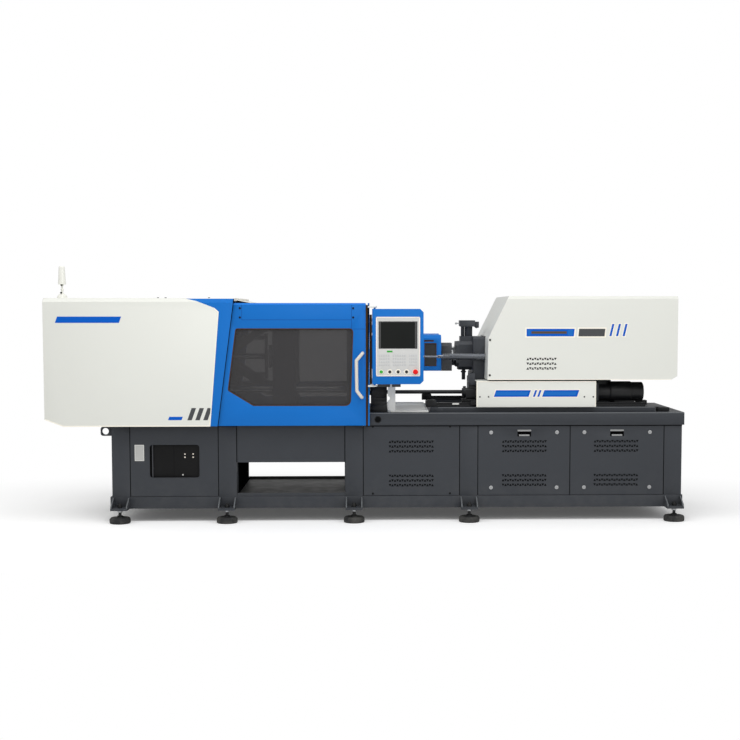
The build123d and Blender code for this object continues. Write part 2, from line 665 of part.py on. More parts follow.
def clamp_nodes():
    """Platens, tie bars, toggle, crosshead and drive."""
    write("fixed_platen", fixed_platen())
    bars = [rod_x((TIE_BAR_START_X, 62), y, z, TIE_BAR_RADIUS) for y, z in tie_bar_places()]
    write("tie_bars", *bars)
    nuts = []
    for y, z in tie_bar_places():
        for ends in ((FIXED_BACK_X, 50.0), (REAR_PLATEN_X[0] - 70, REAR_PLATEN_X[0])):
            radius = 56 if ends[0] >= 0 else 66
            bore = rod_x((ends[0] - 1, ends[1] + 1), y, z, TIE_BAR_RADIUS + RUNNING_FIT)
            nuts.append((ends[0] >= 0, rod_x(ends, y, z, radius) - bore))
    write("tie_bar_nuts", *[nut for front, nut in nuts if front])
    write("rear_platen", *rear_platen())
    write("adjusting_nuts", *[nut for front, nut in nuts if not front])
    write("moving_platen", *moving_platen())
    ejector = block(EJECTOR_X, (-EJECTOR_HALF, EJECTOR_HALF), (AXIS_Z - EJECTOR_HALF, AXIS_Z + EJECTOR_HALF))
    for y, z in EJECTOR_PIN_PLACES:
        ejector += rod_x((EJECTOR_X[1] - 1, MOULD_FACE_OPEN_X - 30), y, AXIS_Z + z, 12)
    write("ejector_plate", ejector)
    links = {"rear_link": rear_link(), "front_link": front_link(), "crosshead_link": crosshead_link()}
    for name, solid in links.items():
        ways = four_ways(solid)
        write(f"{name}_upper", ways[0], ways[2])
        write(f"{name}_lower", ways[1], ways[3])
    write("crosshead", crosshead())
    write("crosshead_guides", *crosshead_guides())
    write("clamp_ball_screw", clamp_ball_screw())
    motor_x = (HOUSING_FRONT_X - 560, HOUSING_FRONT_X - 120)
    motor = mirror(servo_motor((0, 440), 0, 0, 100, 105), about=Plane.YZ)
    write("clamp_motor", Pos(motor_x[1], 0, AXIS_Z) * motor)


# Covers, guards and gates

WHITE_OUTLINE = ((-HALF_LENGTH, 808.0), (-2340.0, COVER_BOTTOM_Z), (-1216.0, COVER_BOTTOM_Z),
                 (-1143.0, 1637.0), (-1176.0, 1666.0), (-1315.0, 1719.0), (-1416.0, COVER_TOP_Z),
                 (-HALF_LENGTH, COVER_TOP_Z))
BAND_OUTLINE = ((-1500.0, COVER_BOTTOM_Z + 1), (-1161.0, COVER_BOTTOM_Z + 1), (-1030.0, COVER_TOP_Z - 4.5),
                (-1500.0, COVER_TOP_Z - 4.5))


def hood_section(half_width, top, bottom, cut):
    """Cross section of a cover with chamfered upper edges, as (y, z) points."""
    return [(-half_width, bottom), (-half_width, top - cut), (-half_width + cut, top),
            (half_width - cut, top), (half_width, top - cut), (half_width, bottom)]


def clamp_cover():
    """Folded white cover of the clamp end: front, rear, roof, end wall and the floor of its overhang."""
    x = (-HALF_LENGTH, -1000.0)
    outer = prism_x(hood_section(COVER_Y, COVER_TOP_Z, 700, COVER_CHAMFER), x)
    outer &= prism_y(WHITE_OUTLINE, (-COVER_Y - 1, COVER_Y + 1))
    inner_x = (-HALF_LENGTH + SHEET, -900.0)
    inner = prism_x(hood_section(COVER_Y - SHEET, COVER_TOP_Z - SHEET, 700, COVER_CHAMFER), inner_x)
    floor = COVER_BOTTOM_Z + SHEET
    hollow = [(-HALF_LENGTH + SHEET, 810.7), (-2339.3, floor), (-2015.0, floor), (-2015.0, 700), (-900, 700),
              (-900, COVER_TOP_Z), (-HALF_LENGTH + SHEET, COVER_TOP_Z)]
    inner &= prism_y(hollow, (-COVER_Y, COVER_Y))
    return outer - inner


def clamp_cover_band():
    """Blue cover section between the white cover and the gates, lapped under the white sheet."""
    wall = COVER_Y - SHEET - 0.5
    top = COVER_TOP_Z - SHEET - 0.5
    outer = prism_x(hood_section(wall, top, 700, COVER_CHAMFER), (-1500, -1000))
    outer &= prism_y(BAND_OUTLINE, (-COVER_Y, COVER_Y))
    inner = prism_x(hood_section(wall - SHEET, top - SHEET, 600, COVER_CHAMFER), (-1600, -900))
    return outer - inner


def gate():
    """Front gate: a blue box-section frame round a polygonal window."""
    frame = block(GATE_X, (-GATE_Y[1], -GATE_Y[0]), GATE_Z)
    return frame - gate_opening(-GATE_Y[1] - 1, -GATE_Y[0] + 1, 0.0)


def gate_opening(y0, y1, inset):
    """Solid that fills the window opening, drawn in by an inset."""
    centre = (-650.0, 1210.0)
    points = []
    for x, z in GATE_WINDOW:
        reach = hypot(x - centre[0], z - centre[1])
        scale = 1 - inset / reach
        points.append((centre[0] + (x - centre[0]) * scale, centre[1] + (z - centre[1]) * scale))
    solid = prism_y(points, (y0, y1))
    return rounded(solid, Axis.Y, points, GATE_WINDOW_RADII)


def gate_window():
    """Pane in the gate's window, set back from its face."""
    return gate_opening(-GATE_Y[1] + 12, -GATE_Y[1] + 17, 2.0)


def gate_handle():
    """Bent bar handle on the gate, with its ends screwed to the frame."""
    front = -GATE_Y[1]
    stand = front - 48
    path = FilletPolyline((-41, front, 1318), (-41, stand, 1318), (-89, stand, 1262), (-86, stand, 1028),
                          (-47, stand, 977), (-47, front, 977), radius=16)
    section = Plane(origin=(-41, front, 1318), z_dir=(0, -1, 0)) * Circle(13)
    return sweep(section, path=path)


def end_guard():
    """Blue sheet round the fixed platen that closes the gates' end, and the panel's hinge brackets."""
    sheet = block((0, 12), (-640, 640), GATE_Z)
    sheet -= block((-1, 13), (-345, 345), (850, 1640))
    sheet -= block((-1, 13), (-565, 565), (700, DECK_TOP_Z + GAP))
    x, y = PANEL_PIVOT
    low = PANEL_Z[0] - HINGE_GAP
    high = PANEL_Z[1] + HINGE_GAP
    for z in ((low - HINGE_PLATE, low), (high, high + HINGE_PLATE)):
        sheet += block((0.5, x), (y - HINGE_RADIUS, y + HINGE_RADIUS), z) + rod_z(x, y, z, HINGE_RADIUS)
    sheet += rod_z(x, y, (low - 1, PANEL_Z[0] + HINGE_PIN_DEPTH), HINGE_PIN_RADIUS)
    sheet += rod_z(x, y, (PANEL_Z[1] - HINGE_PIN_DEPTH, high + 1), HINGE_PIN_RADIUS)
    rear_wall = block((14, 590), (204, 208), (1162, 1441))
    return [sheet, rear_wall]


def top_guard():
    """Roof sheet over the mould space with a sloping flap at the cover's end."""
    roof = block((-1185, -20), (-592, 592), (1694, 1698))
    flap = prism_y([(-1020, 1698), (-1012, 1725), (-905, 1704), (-905, 1698)], (-560, 560))
    return roof + flap


def gate_rail():
    """Upper running rail and lower guide of a gate."""
    upper = block((-1960, -20), (-588, -562), (1640, 1690))
    lower = block((-1960, -20), (-590, -574), (757, 785))
    return [upper, lower]


LAMP_PLACE = (-2365.0, -500.0)


def signal_lamp():
    """Roof lamp: a domed base, a jointed pole and a tapered lens."""
    base = [(0, 0), (40, 0), (38, 14), (24, 30), (12, 36), (0, 36)]
    pole = [(0, 36), (8, 36), (8, 60), (13, 62), (13, 68), (8, 70), (8, 96), (14, 98), (14, 106), (0, 106)]
    lens = [(0, 106), (30, 106), (29, 124), (23, 240), (18, 246), (0, 246)]
    solids = []
    for profile in (base, pole, lens):
        raised = [(radius, COVER_TOP_Z + height) for radius, height in profile]
        solids.append(turned_z(raised, LAMP_PLACE[0], LAMP_PLACE[1]))
    return solids


def cover_nodes():
    """Covers, gates, guards and the signal lamp."""
    write("clamp_cover", clamp_cover())
    write("clamp_cover_band", clamp_cover_band())
    front = gate()
    pane = gate_window()
    write("front_gate", front)
    write("front_gate_window", pane)
    write("gate_handle", gate_handle())
    write("rear_gate", mirror(front, about=Plane.XZ))
    write("rear_gate_window", mirror(pane, about=Plane.XZ))
    write("end_guard", *end_guard())
    write("top_guard", top_guard())
    rails = gate_rail()
    write("gate_rails", *rails, *[mirror(rail, about=Plane.XZ) for rail in rails])
    write("signal_lamp", *signal_lamp())


# Operator panel

CONTROL_SPECS = {
    "start_button": (CONTROL_X[0], 14.0, 10.0),
    "function_button_1": (CONTROL_X[1], 13.0, 10.0),
    "function_button_2": (CONTROL_X[2], 13.0, 10.0),
    "function_button_3": (CONTROL_X[3], 13.0, 10.0),
    "emergency_stop": (CONTROL_X[4], 9.0, 14.0),
}


def panel_housing():
    """Box of the operator panel with chamfered right corners, bores for hinge pins and two cable entries."""
    cut = 26.0
    outline = [(PANEL_X[0], PANEL_Z[0]), (PANEL_X[1] - cut, PANEL_Z[0]), (PANEL_X[1], PANEL_Z[0] + cut),
               (PANEL_X[1], PANEL_Z[1] - cut), (PANEL_X[1] - cut, PANEL_Z[1]), (PANEL_X[0], PANEL_Z[1])]
    body = prism_y(outline, PANEL_Y)
    body = fillet(body.edges().filter_by(Axis.Z).sort_by(Axis.X)[:2].sort_by(Axis.Y)[0], 14)
    for entry_x in ((72, 170), (185, 252)):
        body += block(entry_x, (-672, -632), (PANEL_Z[0] - 22, PANEL_Z[0]))
    x, y = PANEL_PIVOT
    bore = HINGE_PIN_DEPTH + 2
    for z in ((PANEL_Z[0] - 1, PANEL_Z[0] + bore), (PANEL_Z[1] - bore, PANEL_Z[1] + 1)):
        body -= rod_z(x, y, z, HINGE_PIN_RADIUS + RUNNING_FIT)
    for cx, radius, _ in CONTROL_SPECS.values():
        body -= rod_y(cx, (PANEL_Y[0] - 1, PANEL_Y[0] + 22), CONTROL_Z, radius - 2)
    return body


def panel_bezel():
    """Grey face plate with a recess for the screen and holes for the controls."""
    y = (PANEL_Y[0] - BEZEL_DEPTH, PANEL_Y[0])
    plate = block(BEZEL_X, y, BEZEL_Z)
    corners = [(x, z) for x in BEZEL_X for z in BEZEL_Z]
    plate = rounded(plate, Axis.Y, corners, (10,) * 4)
    plate -= block(SCREEN_X, (y[0] - 1, y[0] + 2), SCREEN_Z)
    for cx, radius, _ in CONTROL_SPECS.values():
        plate -= rod_y(cx, (y[0] - 1, y[1] + 1), CONTROL_Z, radius)
    return plate


def control(name):
    """Push button cap with its stem, or a mushroom head for the emergency stop."""
    x, radius, out = CONTROL_SPECS[name]
    face = PANEL_Y[0] - BEZEL_DEPTH
    stem = rod_y(x, (face - 7, PANEL_Y[0] + 12), CONTROL_Z, radius - 2.5)
    if name == "emergency_stop":
        head = rod_y(x, (face - 6 - out, face - 6), CONTROL_Z, 20)
        return chamfer(head.edges().sort_by(Axis.Y)[0], 5) + stem
    cap = rod_y(x, (face - 6, face - 1), CONTROL_Z, radius - 1)
    return cap + stem


def panel_nodes():
    """Operator panel and its controls."""
    write("panel_housing", panel_housing())
    write("panel_bezel", panel_bezel())
    for name in CONTROL_SPECS:
        write(name, control(name))


# Injection unit

def drip_tray():
    """Folded tray on the deck below the nozzle, with an upright strip at its front corner."""
    x = (155.0, 474.0)
    y = 500.0
    cut = 26.0
    rim = 14.0
    wall = 2.0
    tray = block(x, (-y, y), (DECK_TOP_Z, DECK_TOP_Z + rim))
    tray = chamfer(tray.edges().filter_by(Axis.Z).sort_by(Axis.X)[:2].sort_by(Axis.Y)[0], cut)
    inner_z = (DECK_TOP_Z + wall, DECK_TOP_Z + rim + 1)
    hollow = block((x[0] + wall, x[1] - wall), (-y + wall, y - wall), inner_z)
    hollow = chamfer(hollow.edges().filter_by(Axis.Z).sort_by(Axis.X)[:2].sort_by(Axis.Y)[0], cut)
    strip = block((x[0], x[0] + 60), (-y + cut, -y + cut + 3), (DECK_TOP_Z, 1072))
    strip -= rod_y(x[0], (-y, -y + 2 * cut), 958, 17)
    return tray - hollow + strip


def platen_rods():
    """Anchor block on the deck, the stationary carriage screw and the two nozzle-touch rods."""
    x = (22.0, 150.0)
    anchor = block(x, (-425, -310), (904, 1045))
    for z in (912, 960):
        anchor -= block((x[0] + 18, x[1] + 1), (-426, -408), (z, z + 28))
    anchor += block(x, (-478, -310), (DECK_TOP_Z, 905))
    drive = rod_x((x[1] - 1, 1600), DRIVE_Y, DRIVE_Z, DRIVE_ROD_RADIUS)
    rods = []
    for y in (-TOUCH_Y, TOUCH_Y):
        thin = rod_x((0.5, 560), y, TOUCH_Z, 8)
        rods.append(thin + rod_x((559, 1000), y, TOUCH_Z, TOUCH_ROD_RADIUS))
    return [anchor + drive] + rods


def carriage_rails():
    """Two raised beams with linear rails, end stops and a small stop block at the far end."""
    beam = block(BEAM_X, (-BEAM_Y[1], -BEAM_Y[0]), (DECK_TOP_Z, BEAM_TOP_Z))
    beam = rounded(beam, Axis.Y, ((BEAM_X[0], BEAM_TOP_Z),), (14,))
    pad_x = (BEAM_X[0] + 38, BEAM_X[0] + 100)
    beam += block(pad_x, (-BEAM_Y[1] - 6, -BEAM_Y[1] + 1), (DECK_TOP_Z, BEAM_TOP_Z - 10))
    solids = both_sides(beam)
    rail = block((465, 2200), (-RAIL_Y - RAIL_HALF, -RAIL_Y + RAIL_HALF), (BEAM_TOP_Z, RAIL_TOP_Z))
    for side in (-1, 1):
        groove_y = sorted((-RAIL_Y + side * (RAIL_HALF + 1), -RAIL_Y + side * (RAIL_HALF - 4)))
        rail -= block((464, 2201), groove_y, (BEAM_TOP_Z + 10, RAIL_TOP_Z - 10))
    stop = block((458, 540), (-RAIL_Y - 22, -RAIL_Y + 22), (BEAM_TOP_Z, RAIL_TOP_Z + 21))
    rail += chamfer(stop.edges().filter_by(Axis.Y).sort_by(Axis.Z)[-2:], 10)
    solids += both_sides(rail)
    solids += both_sides(block((2292, 2385), (-470, -390), (DECK_TOP_Z, DECK_TOP_Z + 32)))
    return solids


def drive_nut(back):
    """Drive nut with its turned flange, foot and neck, and an arm up past the sled's upper plate."""
    wide = (DRIVE_Y - 52, DRIVE_Y + 52)
    nut = block((778, back), wide, (944, 1030))
    nut = chamfer(nut.edges().filter_by(Axis.X), 12)
    nut += block((747, back), (DRIVE_Y - 44, DRIVE_Y + 44), (904, 945))
    nut += turned_x([(749, 0), (749, 30), (758, 30), (758, 46), (779, 46), (779, 0)], DRIVE_Y, DRIVE_Z)
    nut += block((799, back), (DRIVE_Y - 36, DRIVE_Y + 36), (1029, SLED_PLATE_Z[0]))
    arm = block((799, 848), wide, (SLED_PLATE_Z[0] - 1, 1148))
    nut += chamfer(arm.edges().filter_by(Axis.Y).sort_by(Axis.Z)[0:2].sort_by(Axis.X)[0], 16)
    nut += block((847, back), wide, (SLED_PLATE_Z[0] - 1, SLED_PLATE_Z[1]))
    return nut - rod_x((700, back + 28), DRIVE_Y, DRIVE_Z, DRIVE_ROD_RADIUS + RUNNING_FIT)


def carriage_base():
    """Carriage sled: two plates and webs, bearing blocks, the drive nut's bracket and the motor plate."""
    x = (872.0, 1770.0)
    low_z = (RAIL_TOP_Z + 18, RAIL_TOP_Z + 48)
    solids = [block(x, (-470, 470), z) for z in (low_z, SLED_PLATE_Z)]
    for y in (-190, 130):
        solids.append(block(x, (y, y + 60), (low_z[1], SLED_PLATE_Z[0])))
    for bx in (808, 1600):
        for side in (-1, 1):
            centre = side * RAIL_Y
            bearing = block((bx, bx + 130), (centre - 35, centre + 35), (RAIL_TOP_Z - 20, low_z[0]))
            half = RAIL_HALF + 0.5
            groove = block((bx - 1, bx + 131), (centre - half, centre + half), (880, RAIL_TOP_Z + 0.5))
            solids.append(bearing - groove)
    solids.append(drive_nut(x[0]))
    solids.append(block((x[1], x[1] + 36), (DRIVE_Y - 90, DRIVE_Y + 90), (925, SLED_PLATE_Z[1])))
    for side in (-1, 1):
        solids.append(rod_x((941, 1900), side * GUIDE_BAR_Y, AXIS_Z, GUIDE_BAR_RADIUS))
    solids.append(block((1770, 1960), (-230, 230), SLED_PLATE_Z))
    solids.append(block((1900, 1950), (-230, 230), (SLED_PLATE_Z[1], 1420)))
    return solids


def carriage_covers():
    """White cover over the sled: top and two side sheets, open underneath and at the ends."""
    outer = block(CARRIAGE_X, (-CARRIAGE_Y, CARRIAGE_Y), CARRIAGE_Z)
    inner_z = (CARRIAGE_Z[0] - 1, CARRIAGE_Z[1] - SHEET)
    inner_x = (CARRIAGE_X[0] - 1, CARRIAGE_X[1] + 1)
    inner = block(inner_x, (-CARRIAGE_Y + SHEET, CARRIAGE_Y - SHEET), inner_z)
    top_hole = block((CARRIAGE_X[0] - 1, 1720), (-250, 250), (CARRIAGE_Z[1] - 10, CARRIAGE_Z[1] + 1))
    return outer - inner - top_hole


HOOD_OUTLINE = ((HOOD_X[0], HOOD_Z[0]), (2384.0, HOOD_Z[0]), (HOOD_X[1], 1132.0), (HOOD_X[1], HOOD_Z[1]),
                (1102.0, HOOD_Z[1]), (941.0, 1432.0))


def injection_cover():
    """White cover over the injection unit: side walls, roof, sloping front and rear end, open below."""
    outer = prism_x(hood_section(HOOD_Y, HOOD_Z[1], 1050, 22), (900, 2500))
    outer &= prism_y(HOOD_OUTLINE, (-HOOD_Y - 1, HOOD_Y + 1))
    inner = prism_x(hood_section(HOOD_Y - SHEET, HOOD_Z[1] - SHEET, 1000, 22), (900, 2500))
    hollow = [(HOOD_X[0] + 8, 1000), (2380, 1000), (2380, HOOD_Z[0] + 3), (HOOD_X[1] - SHEET, 1134.5),
              (HOOD_X[1] - SHEET, HOOD_Z[1]), (1104.6 + SHEET, HOOD_Z[1]), (945.2, 1431)]
    inner &= prism_y(hollow, (-HOOD_Y, HOOD_Y))
    shell = outer - inner
    shell -= block((920, 960), (-244, 244), (1000, 1440))
    for side in (-1, 1):
        shell -= rod_x((920, 960), side * TOUCH_Y, TOUCH_Z, 28)
    return shell - vent(1251, 1194, 12, (-HOOD_Y - 1, -HOOD_Y + SHEET + 1), 0)


THROAT_X = 824.0
THROAT_RADIUS = 22.0
FLANGE_MIDDLE_X = 810.0
FLANGE_BOLT_HALF = 48.0
FLANGE_Z = (1516.0, 1567.0)
COLUMN_Z = 1438.0
SLIDE_X = (735.0, 872.0)
SLIDE_HALF = 36.0
SLIDE_Z = (1538.0, 1546.0)
SLIDE_FIT = 0.5


def feed_housing():
    """Cast feed housing round the barrel's end, its mounting plate, a drain valve and the hopper column."""
    x = (736.0, 846.0)
    body = block(x, (-114, 114), (AXIS_Z - 109, AXIS_Z + 122))
    body = chamfer(body.edges().filter_by(Axis.X), 26)
    lip = block((715, x[0] + 1), (-119, 119), (AXIS_Z - 84, AXIS_Z + 121))
    body += chamfer(lip.edges().filter_by(Axis.X), 32)
    plate = block((x[1], 941), (-240, 240), (1086, 1435))
    plate = chamfer(plate.edges().filter_by(Axis.X).sort_by(Axis.Z)[-2:], 14)
    foot = block((x[1] - 8, 941), (-240, 240), (1086, 1147))
    cap = block((752, 856), (-60, 60), (AXIS_Z + 121, COLUMN_Z))
    body += plate + foot + cap
    body -= rod_x((700, 950), 0, AXIS_Z, BARREL_RADIUS + RUNNING_FIT)
    body -= rod_z(THROAT_X, 0, (AXIS_Z + 30, 1440), THROAT_RADIUS)
    valve = [(0, 1082), (15, 1082), (15, 1140), (22, 1142), (22, 1152), (15, 1154), (15, 1167), (0, 1167)]
    body += turned_z(valve, 784, 0)
    column_z = (COLUMN_Z, FLANGE_Z[0] + 1)
    column = rod_z(THROAT_X, 0, column_z, 32) + rod_z(776, 0, column_z, 15)
    flange = block((748, 874), (-62, 62), FLANGE_Z)
    flange = chamfer(flange.edges().filter_by(Axis.Y).sort_by(Axis.Z)[:2], 8)
    bracket = prism_y([(873, 1514), (886, 1502), (908, 1508), (908, 1556), (873, 1556)], (-30, 30))
    column += flange + bracket
    column -= rod_z(THROAT_X, 0, (COLUMN_Z - 1, FLANGE_Z[1] + 1), THROAT_RADIUS)
    slot_y = (-SLIDE_HALF - SLIDE_FIT, SLIDE_HALF + SLIDE_FIT)
    column -= block((730, 880), slot_y, (SLIDE_Z[0] - SLIDE_FIT, SLIDE_Z[1] + SLIDE_FIT))
    for hx in (-FLANGE_BOLT_HALF, FLANGE_BOLT_HALF):
        for hy in (-FLANGE_BOLT_HALF, FLANGE_BOLT_HALF):
            column -= rod_z(FLANGE_MIDDLE_X + hx, hy, (SLIDE_Z[1] + 1, FLANGE_Z[1] + 1), 5.25)
    return [body, column]


def hopper_slide():
    """Shut-off plate under the hopper, with its pull knob."""
    x = SLIDE_X[0]
    middle = (SLIDE_Z[0] + SLIDE_Z[1]) / 2
    plate = block(SLIDE_X, (-SLIDE_HALF, SLIDE_HALF), SLIDE_Z) - rod_z(THROAT_X, 0, SLIDE_Z, THROAT_RADIUS)
    return plate + rod_x((x - 7, x + 1), 0, middle, 4) + rod_x((x - 21, x - 6), 0, middle, 8)


HEATER_STARTS = (80, 180, 280, 380, 480)


def barrel():
    """Barrel with its nozzle, heater bands, boxed end guard and neck."""
    bore = SCREW_RADIUS + 0.08
    outline = [(-100, NOZZLE_BORE), (-100, 12), (-84, 24), (-40, 24), (-40, 32), (0, 32), (20, 70), (60, 70),
               (60, BARREL_RADIUS)]
    for start in HEATER_STARTS:
        outline += [(start, BARREL_RADIUS), (start, 72), (start + 80, 72), (start + 80, BARREL_RADIUS)]
    outline += [(681, BARREL_RADIUS), (681, 77), (714.5, 77), (714.5, BARREL_RADIUS),
                (930, BARREL_RADIUS), (930, bore), (-30, bore), (-50, NOZZLE_BORE)]
    tube = turned_x(outline, 0, AXIS_Z)
    guard = block((597, 682), (-112, 112), (AXIS_Z - 117, AXIS_Z + 108))
    guard = chamfer(guard.edges().filter_by(Axis.X).sort_by(Axis.Z)[-2:], 24)
    guard -= rod_x((590, 690), 0, AXIS_Z, BARREL_RADIUS - 1)
    return tube + guard - rod_z(THROAT_X, 0, (AXIS_Z + 10, AXIS_Z + 80), THROAT_RADIUS - 2)


def touch_cylinders():
    """Two nozzle-touch cylinders beside the barrel, with grooved glands."""
    solids = []
    for side in (-1, 1):
        profile = [(597, TOUCH_ROD_RADIUS + 0.06), (597, 25)]
        for groove in (608, 624, 640):
            profile += [(groove, 25), (groove, 21), (groove + 5, 21), (groove + 5, 25)]
        profile += [(653, 25), (653, 26), (1330, 26), (1330, TOUCH_ROD_RADIUS + 0.06)]
        solids.append(turned_x(profile, side * TOUCH_Y, TOUCH_Z))
    return solids


def carriage_motor():
    """Geared servo that drives the carriage, with its terminal box and foot."""
    motor = servo_motor((1806, 2196), DRIVE_Y, DRIVE_Z, 83, 84)
    box = block((1830, 1905), (DRIVE_Y - 40, DRIVE_Y + 40), (DRIVE_Z + 60, DRIVE_Z + 96))
    foot = block((1960, 2120), (DRIVE_Y - 60, DRIVE_Y + 60), (DRIVE_Z - 92, DRIVE_Z - 70))
    return motor + box + foot


PUSHER_X = (1560.0, 1620.0)


def pusher_plate():
    """Plate that drives the screw forward, on two guide bars, with the plasticising motor behind it."""
    plate = block(PUSHER_X, (-250, 250), (AXIS_Z - 130, AXIS_Z + 130))
    plate = chamfer(plate.edges().filter_by(Axis.X), 30)
    plate += rod_x((PUSHER_X[1] - 1, 1730), 0, AXIS_Z, 95)
    for side in (-1, 1):
        plate -= rod_x((PUSHER_X[0] - 1, PUSHER_X[1] + 1), side * GUIDE_BAR_Y, AXIS_Z,
                       GUIDE_BAR_RADIUS + RUNNING_FIT)
    return plate - rod_x((PUSHER_X[0] - 1, PUSHER_X[0] + 50), 0, AXIS_Z, 40 + RUNNING_FIT)


def plasticising_screw():
    """Screw with its pointed tip, and the shank seated in the pusher plate."""
    return turned_x([(-38, 0), (-20, SCREW_RADIUS), (1480, SCREW_RADIUS), (1500, 40), (PUSHER_X[0] + 48, 40),
                     (PUSHER_X[0] + 48, 0)], 0, AXIS_Z)


PURGE_WINDOW = ((455.0, 552.0), (1200.0, 1385.0))
PURGE_SLOT = ((452.0, 530.0), (1396.0, 1410.0))


def purge_guard():
    """Hinged blue guard over the nozzle: front wall with a window, chamfered edge and top."""
    x = (70.0, 590.0)
    y = 200.0
    low = 1162.0
    top = 1450.0
    cut = 24.0
    bend = cut + 1.6
    outline = [(-y, low), (-y, top - cut), (-y + cut, top), (y - SHEET, top), (y - SHEET, top - SHEET),
               (-y + bend, top - SHEET), (-y + SHEET, top - bend), (-y + SHEET, low)]
    hood = prism_x(outline, x)
    for opening_x, opening_z in (PURGE_WINDOW, PURGE_SLOT):
        hood -= block(opening_x, (-y - 10, -y + 10), opening_z)
    return hood + block(x, (y - 10, y), (top - SHEET, top)) + rod_x(x, y, top, 6)


def injection_nodes():
    """Everything on the deck and on the injection carriage."""
    write("drip_tray", drip_tray())
    write("platen_rods", *platen_rods())
    write("carriage_rails", *carriage_rails())
    write("carriage_base", *carriage_base())
    write("carriage_covers", carriage_covers())
    write("injection_cover", injection_cover())
    write("feed_housing", *feed_housing())
    write("hopper_slide", hopper_slide())
    write("barrel", barrel())
    write("touch_cylinders", *touch_cylinders())
    write("carriage_motor", carriage_motor())
    write("pusher_plate", pusher_plate())
    write("plasticising_screw", plasticising_screw())
    write("purge_guard", purge_guard())


os.makedirs("parts", exist_ok=True)
bed_nodes()
clamp_nodes()
cover_nodes()
panel_nodes()
injection_nodes()
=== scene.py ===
"""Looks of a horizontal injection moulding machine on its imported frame.

Everything is in metres, in the frame's own axes: X runs to the injection end, Y to the rear, Z up.
The operator stands in front, so a surface that faces the operator has its normal along minus Y.
"""

import json
import logging
from dataclasses import dataclass
from enum import Enum
from math import atan, pi, radians
from typing import Any, Callable, Iterable, Sequence

import bmesh
import bpy
from bmesh.types import BMEdge, BMFace, BMVert
from mathutils import Matrix, Vector

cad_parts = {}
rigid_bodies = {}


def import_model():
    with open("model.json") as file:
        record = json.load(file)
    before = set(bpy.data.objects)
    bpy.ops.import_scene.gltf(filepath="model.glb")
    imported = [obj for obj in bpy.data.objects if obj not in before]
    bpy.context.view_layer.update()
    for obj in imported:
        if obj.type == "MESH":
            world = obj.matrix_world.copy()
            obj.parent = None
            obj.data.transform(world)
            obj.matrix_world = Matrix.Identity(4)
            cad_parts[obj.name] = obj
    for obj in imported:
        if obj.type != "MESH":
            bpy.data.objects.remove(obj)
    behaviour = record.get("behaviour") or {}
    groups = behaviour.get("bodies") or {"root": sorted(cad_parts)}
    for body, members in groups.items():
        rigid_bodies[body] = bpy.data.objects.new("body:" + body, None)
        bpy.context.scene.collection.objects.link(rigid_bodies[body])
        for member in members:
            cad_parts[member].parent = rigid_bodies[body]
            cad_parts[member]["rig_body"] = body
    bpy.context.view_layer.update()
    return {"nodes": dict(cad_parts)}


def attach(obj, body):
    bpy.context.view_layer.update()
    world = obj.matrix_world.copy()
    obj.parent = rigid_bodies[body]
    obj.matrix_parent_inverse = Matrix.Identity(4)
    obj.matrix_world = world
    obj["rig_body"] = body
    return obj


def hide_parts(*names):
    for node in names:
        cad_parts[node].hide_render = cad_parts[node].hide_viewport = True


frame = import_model()
LOG = logging.getLogger("moulding_machine")

Span = tuple[float, float]
Point = tuple[float, float]
Corner = tuple[float, float, float]
Area = tuple[Span, Span]
Colour = tuple[int, int, int]
Test = Callable[[Vector, Vector], bool]

SHARP_ANGLE = 32.0  # In degrees: a frame node's edges that turn by more are rounded.
FLAT_ANGLE = 0.3  # In degrees: neighbours that turn by less become one face.
HAIR = 1e-5  # Distance that is too small to see.
SEAM_HALF = 0.003
SCREW_RADIUS = 0.008
FILM = 0.0008  # Height of a film, with a second one and a third one on top of it.
SECOND_FILM = 0.0012
THIRD_FILM = 0.0014
UPRIGHT = (0.0, 0.0)  # How far both ends of an upright bar lean.


class Axis(Enum):
    """Directions in which a turned piece may point."""

    FRONT = "to the operator"
    UP = "up"


class Relief(Enum):
    """Structure that a finish shows close up."""

    COATED = "coated"
    BRUSHED = "brushed"
    CAST = "cast"
    MOULDED = "moulded"


@dataclass(frozen=True)
class Finish:
    """Colour, gloss and fine structure of one surface.

    The colour is 8-bit sRGB, and the grain is in waves per metre.
    """

    name: str
    slot: str
    colour: Colour
    relief: Relief = Relief.COATED
    roughness: float = 0.42
    metallic: float = 0.0
    grain: float = 420.0
    depth: float = 0.12
    tint: float = 0.05
    coat: float = 0.0
    alpha: float = 1.0
    dust: float = 0.0
    specular: float = 0.5

    def material(self) -> bpy.types.Material:
        """Return the finish's material, made on first use."""
        known = bpy.data.materials.get(f"{self.name}_finish")
        return known if known else MaterialMaker().make(self)


def linear(colour: Colour) -> tuple[float, float, float, float]:
    """Turn an 8-bit sRGB colour into linear values.

    Args:
        colour: Red, green and blue from 0 to 255.

    Returns:
        Linear red, green, blue and a full alpha.
    """
    parts = [c / 255 for c in colour]
    values = [p / 12.92 if p <= 0.04045 else ((p + 0.055) / 1.055) ** 2.4 for p in parts]
    return (values[0], values[1], values[2], 1.0)


def around(centre: float, half: float) -> Span:
    """Return the limits of a width whose middle and half are given."""
    return (centre - half, centre + half)


def grown(span: Span, by: float) -> Span:
    """Return limits that are moved outwards, or inwards by a negative distance."""
    return (span[0] - by, span[1] + by)


def raised(y: float, height: float, sunk: float = 0.0) -> Span:
    """Return the limits on Y of a thing on a surface at y, from its front to its sunk rear."""
    return (y - height, y + sunk)


def rectangle(x: Span, z: Span, radius: float) -> tuple[Corner, ...]:
    """Return the corners of an upright rectangle as x, z and rounding radius."""
    return tuple((x[i], z[j], radius) for i, j in ((0, 1), (1, 1), (1, 0), (0, 0)))


def inside(value: float, span: Span) -> bool:
    """Tell whether a value lies between two limits."""
    return span[0] < value < span[1]


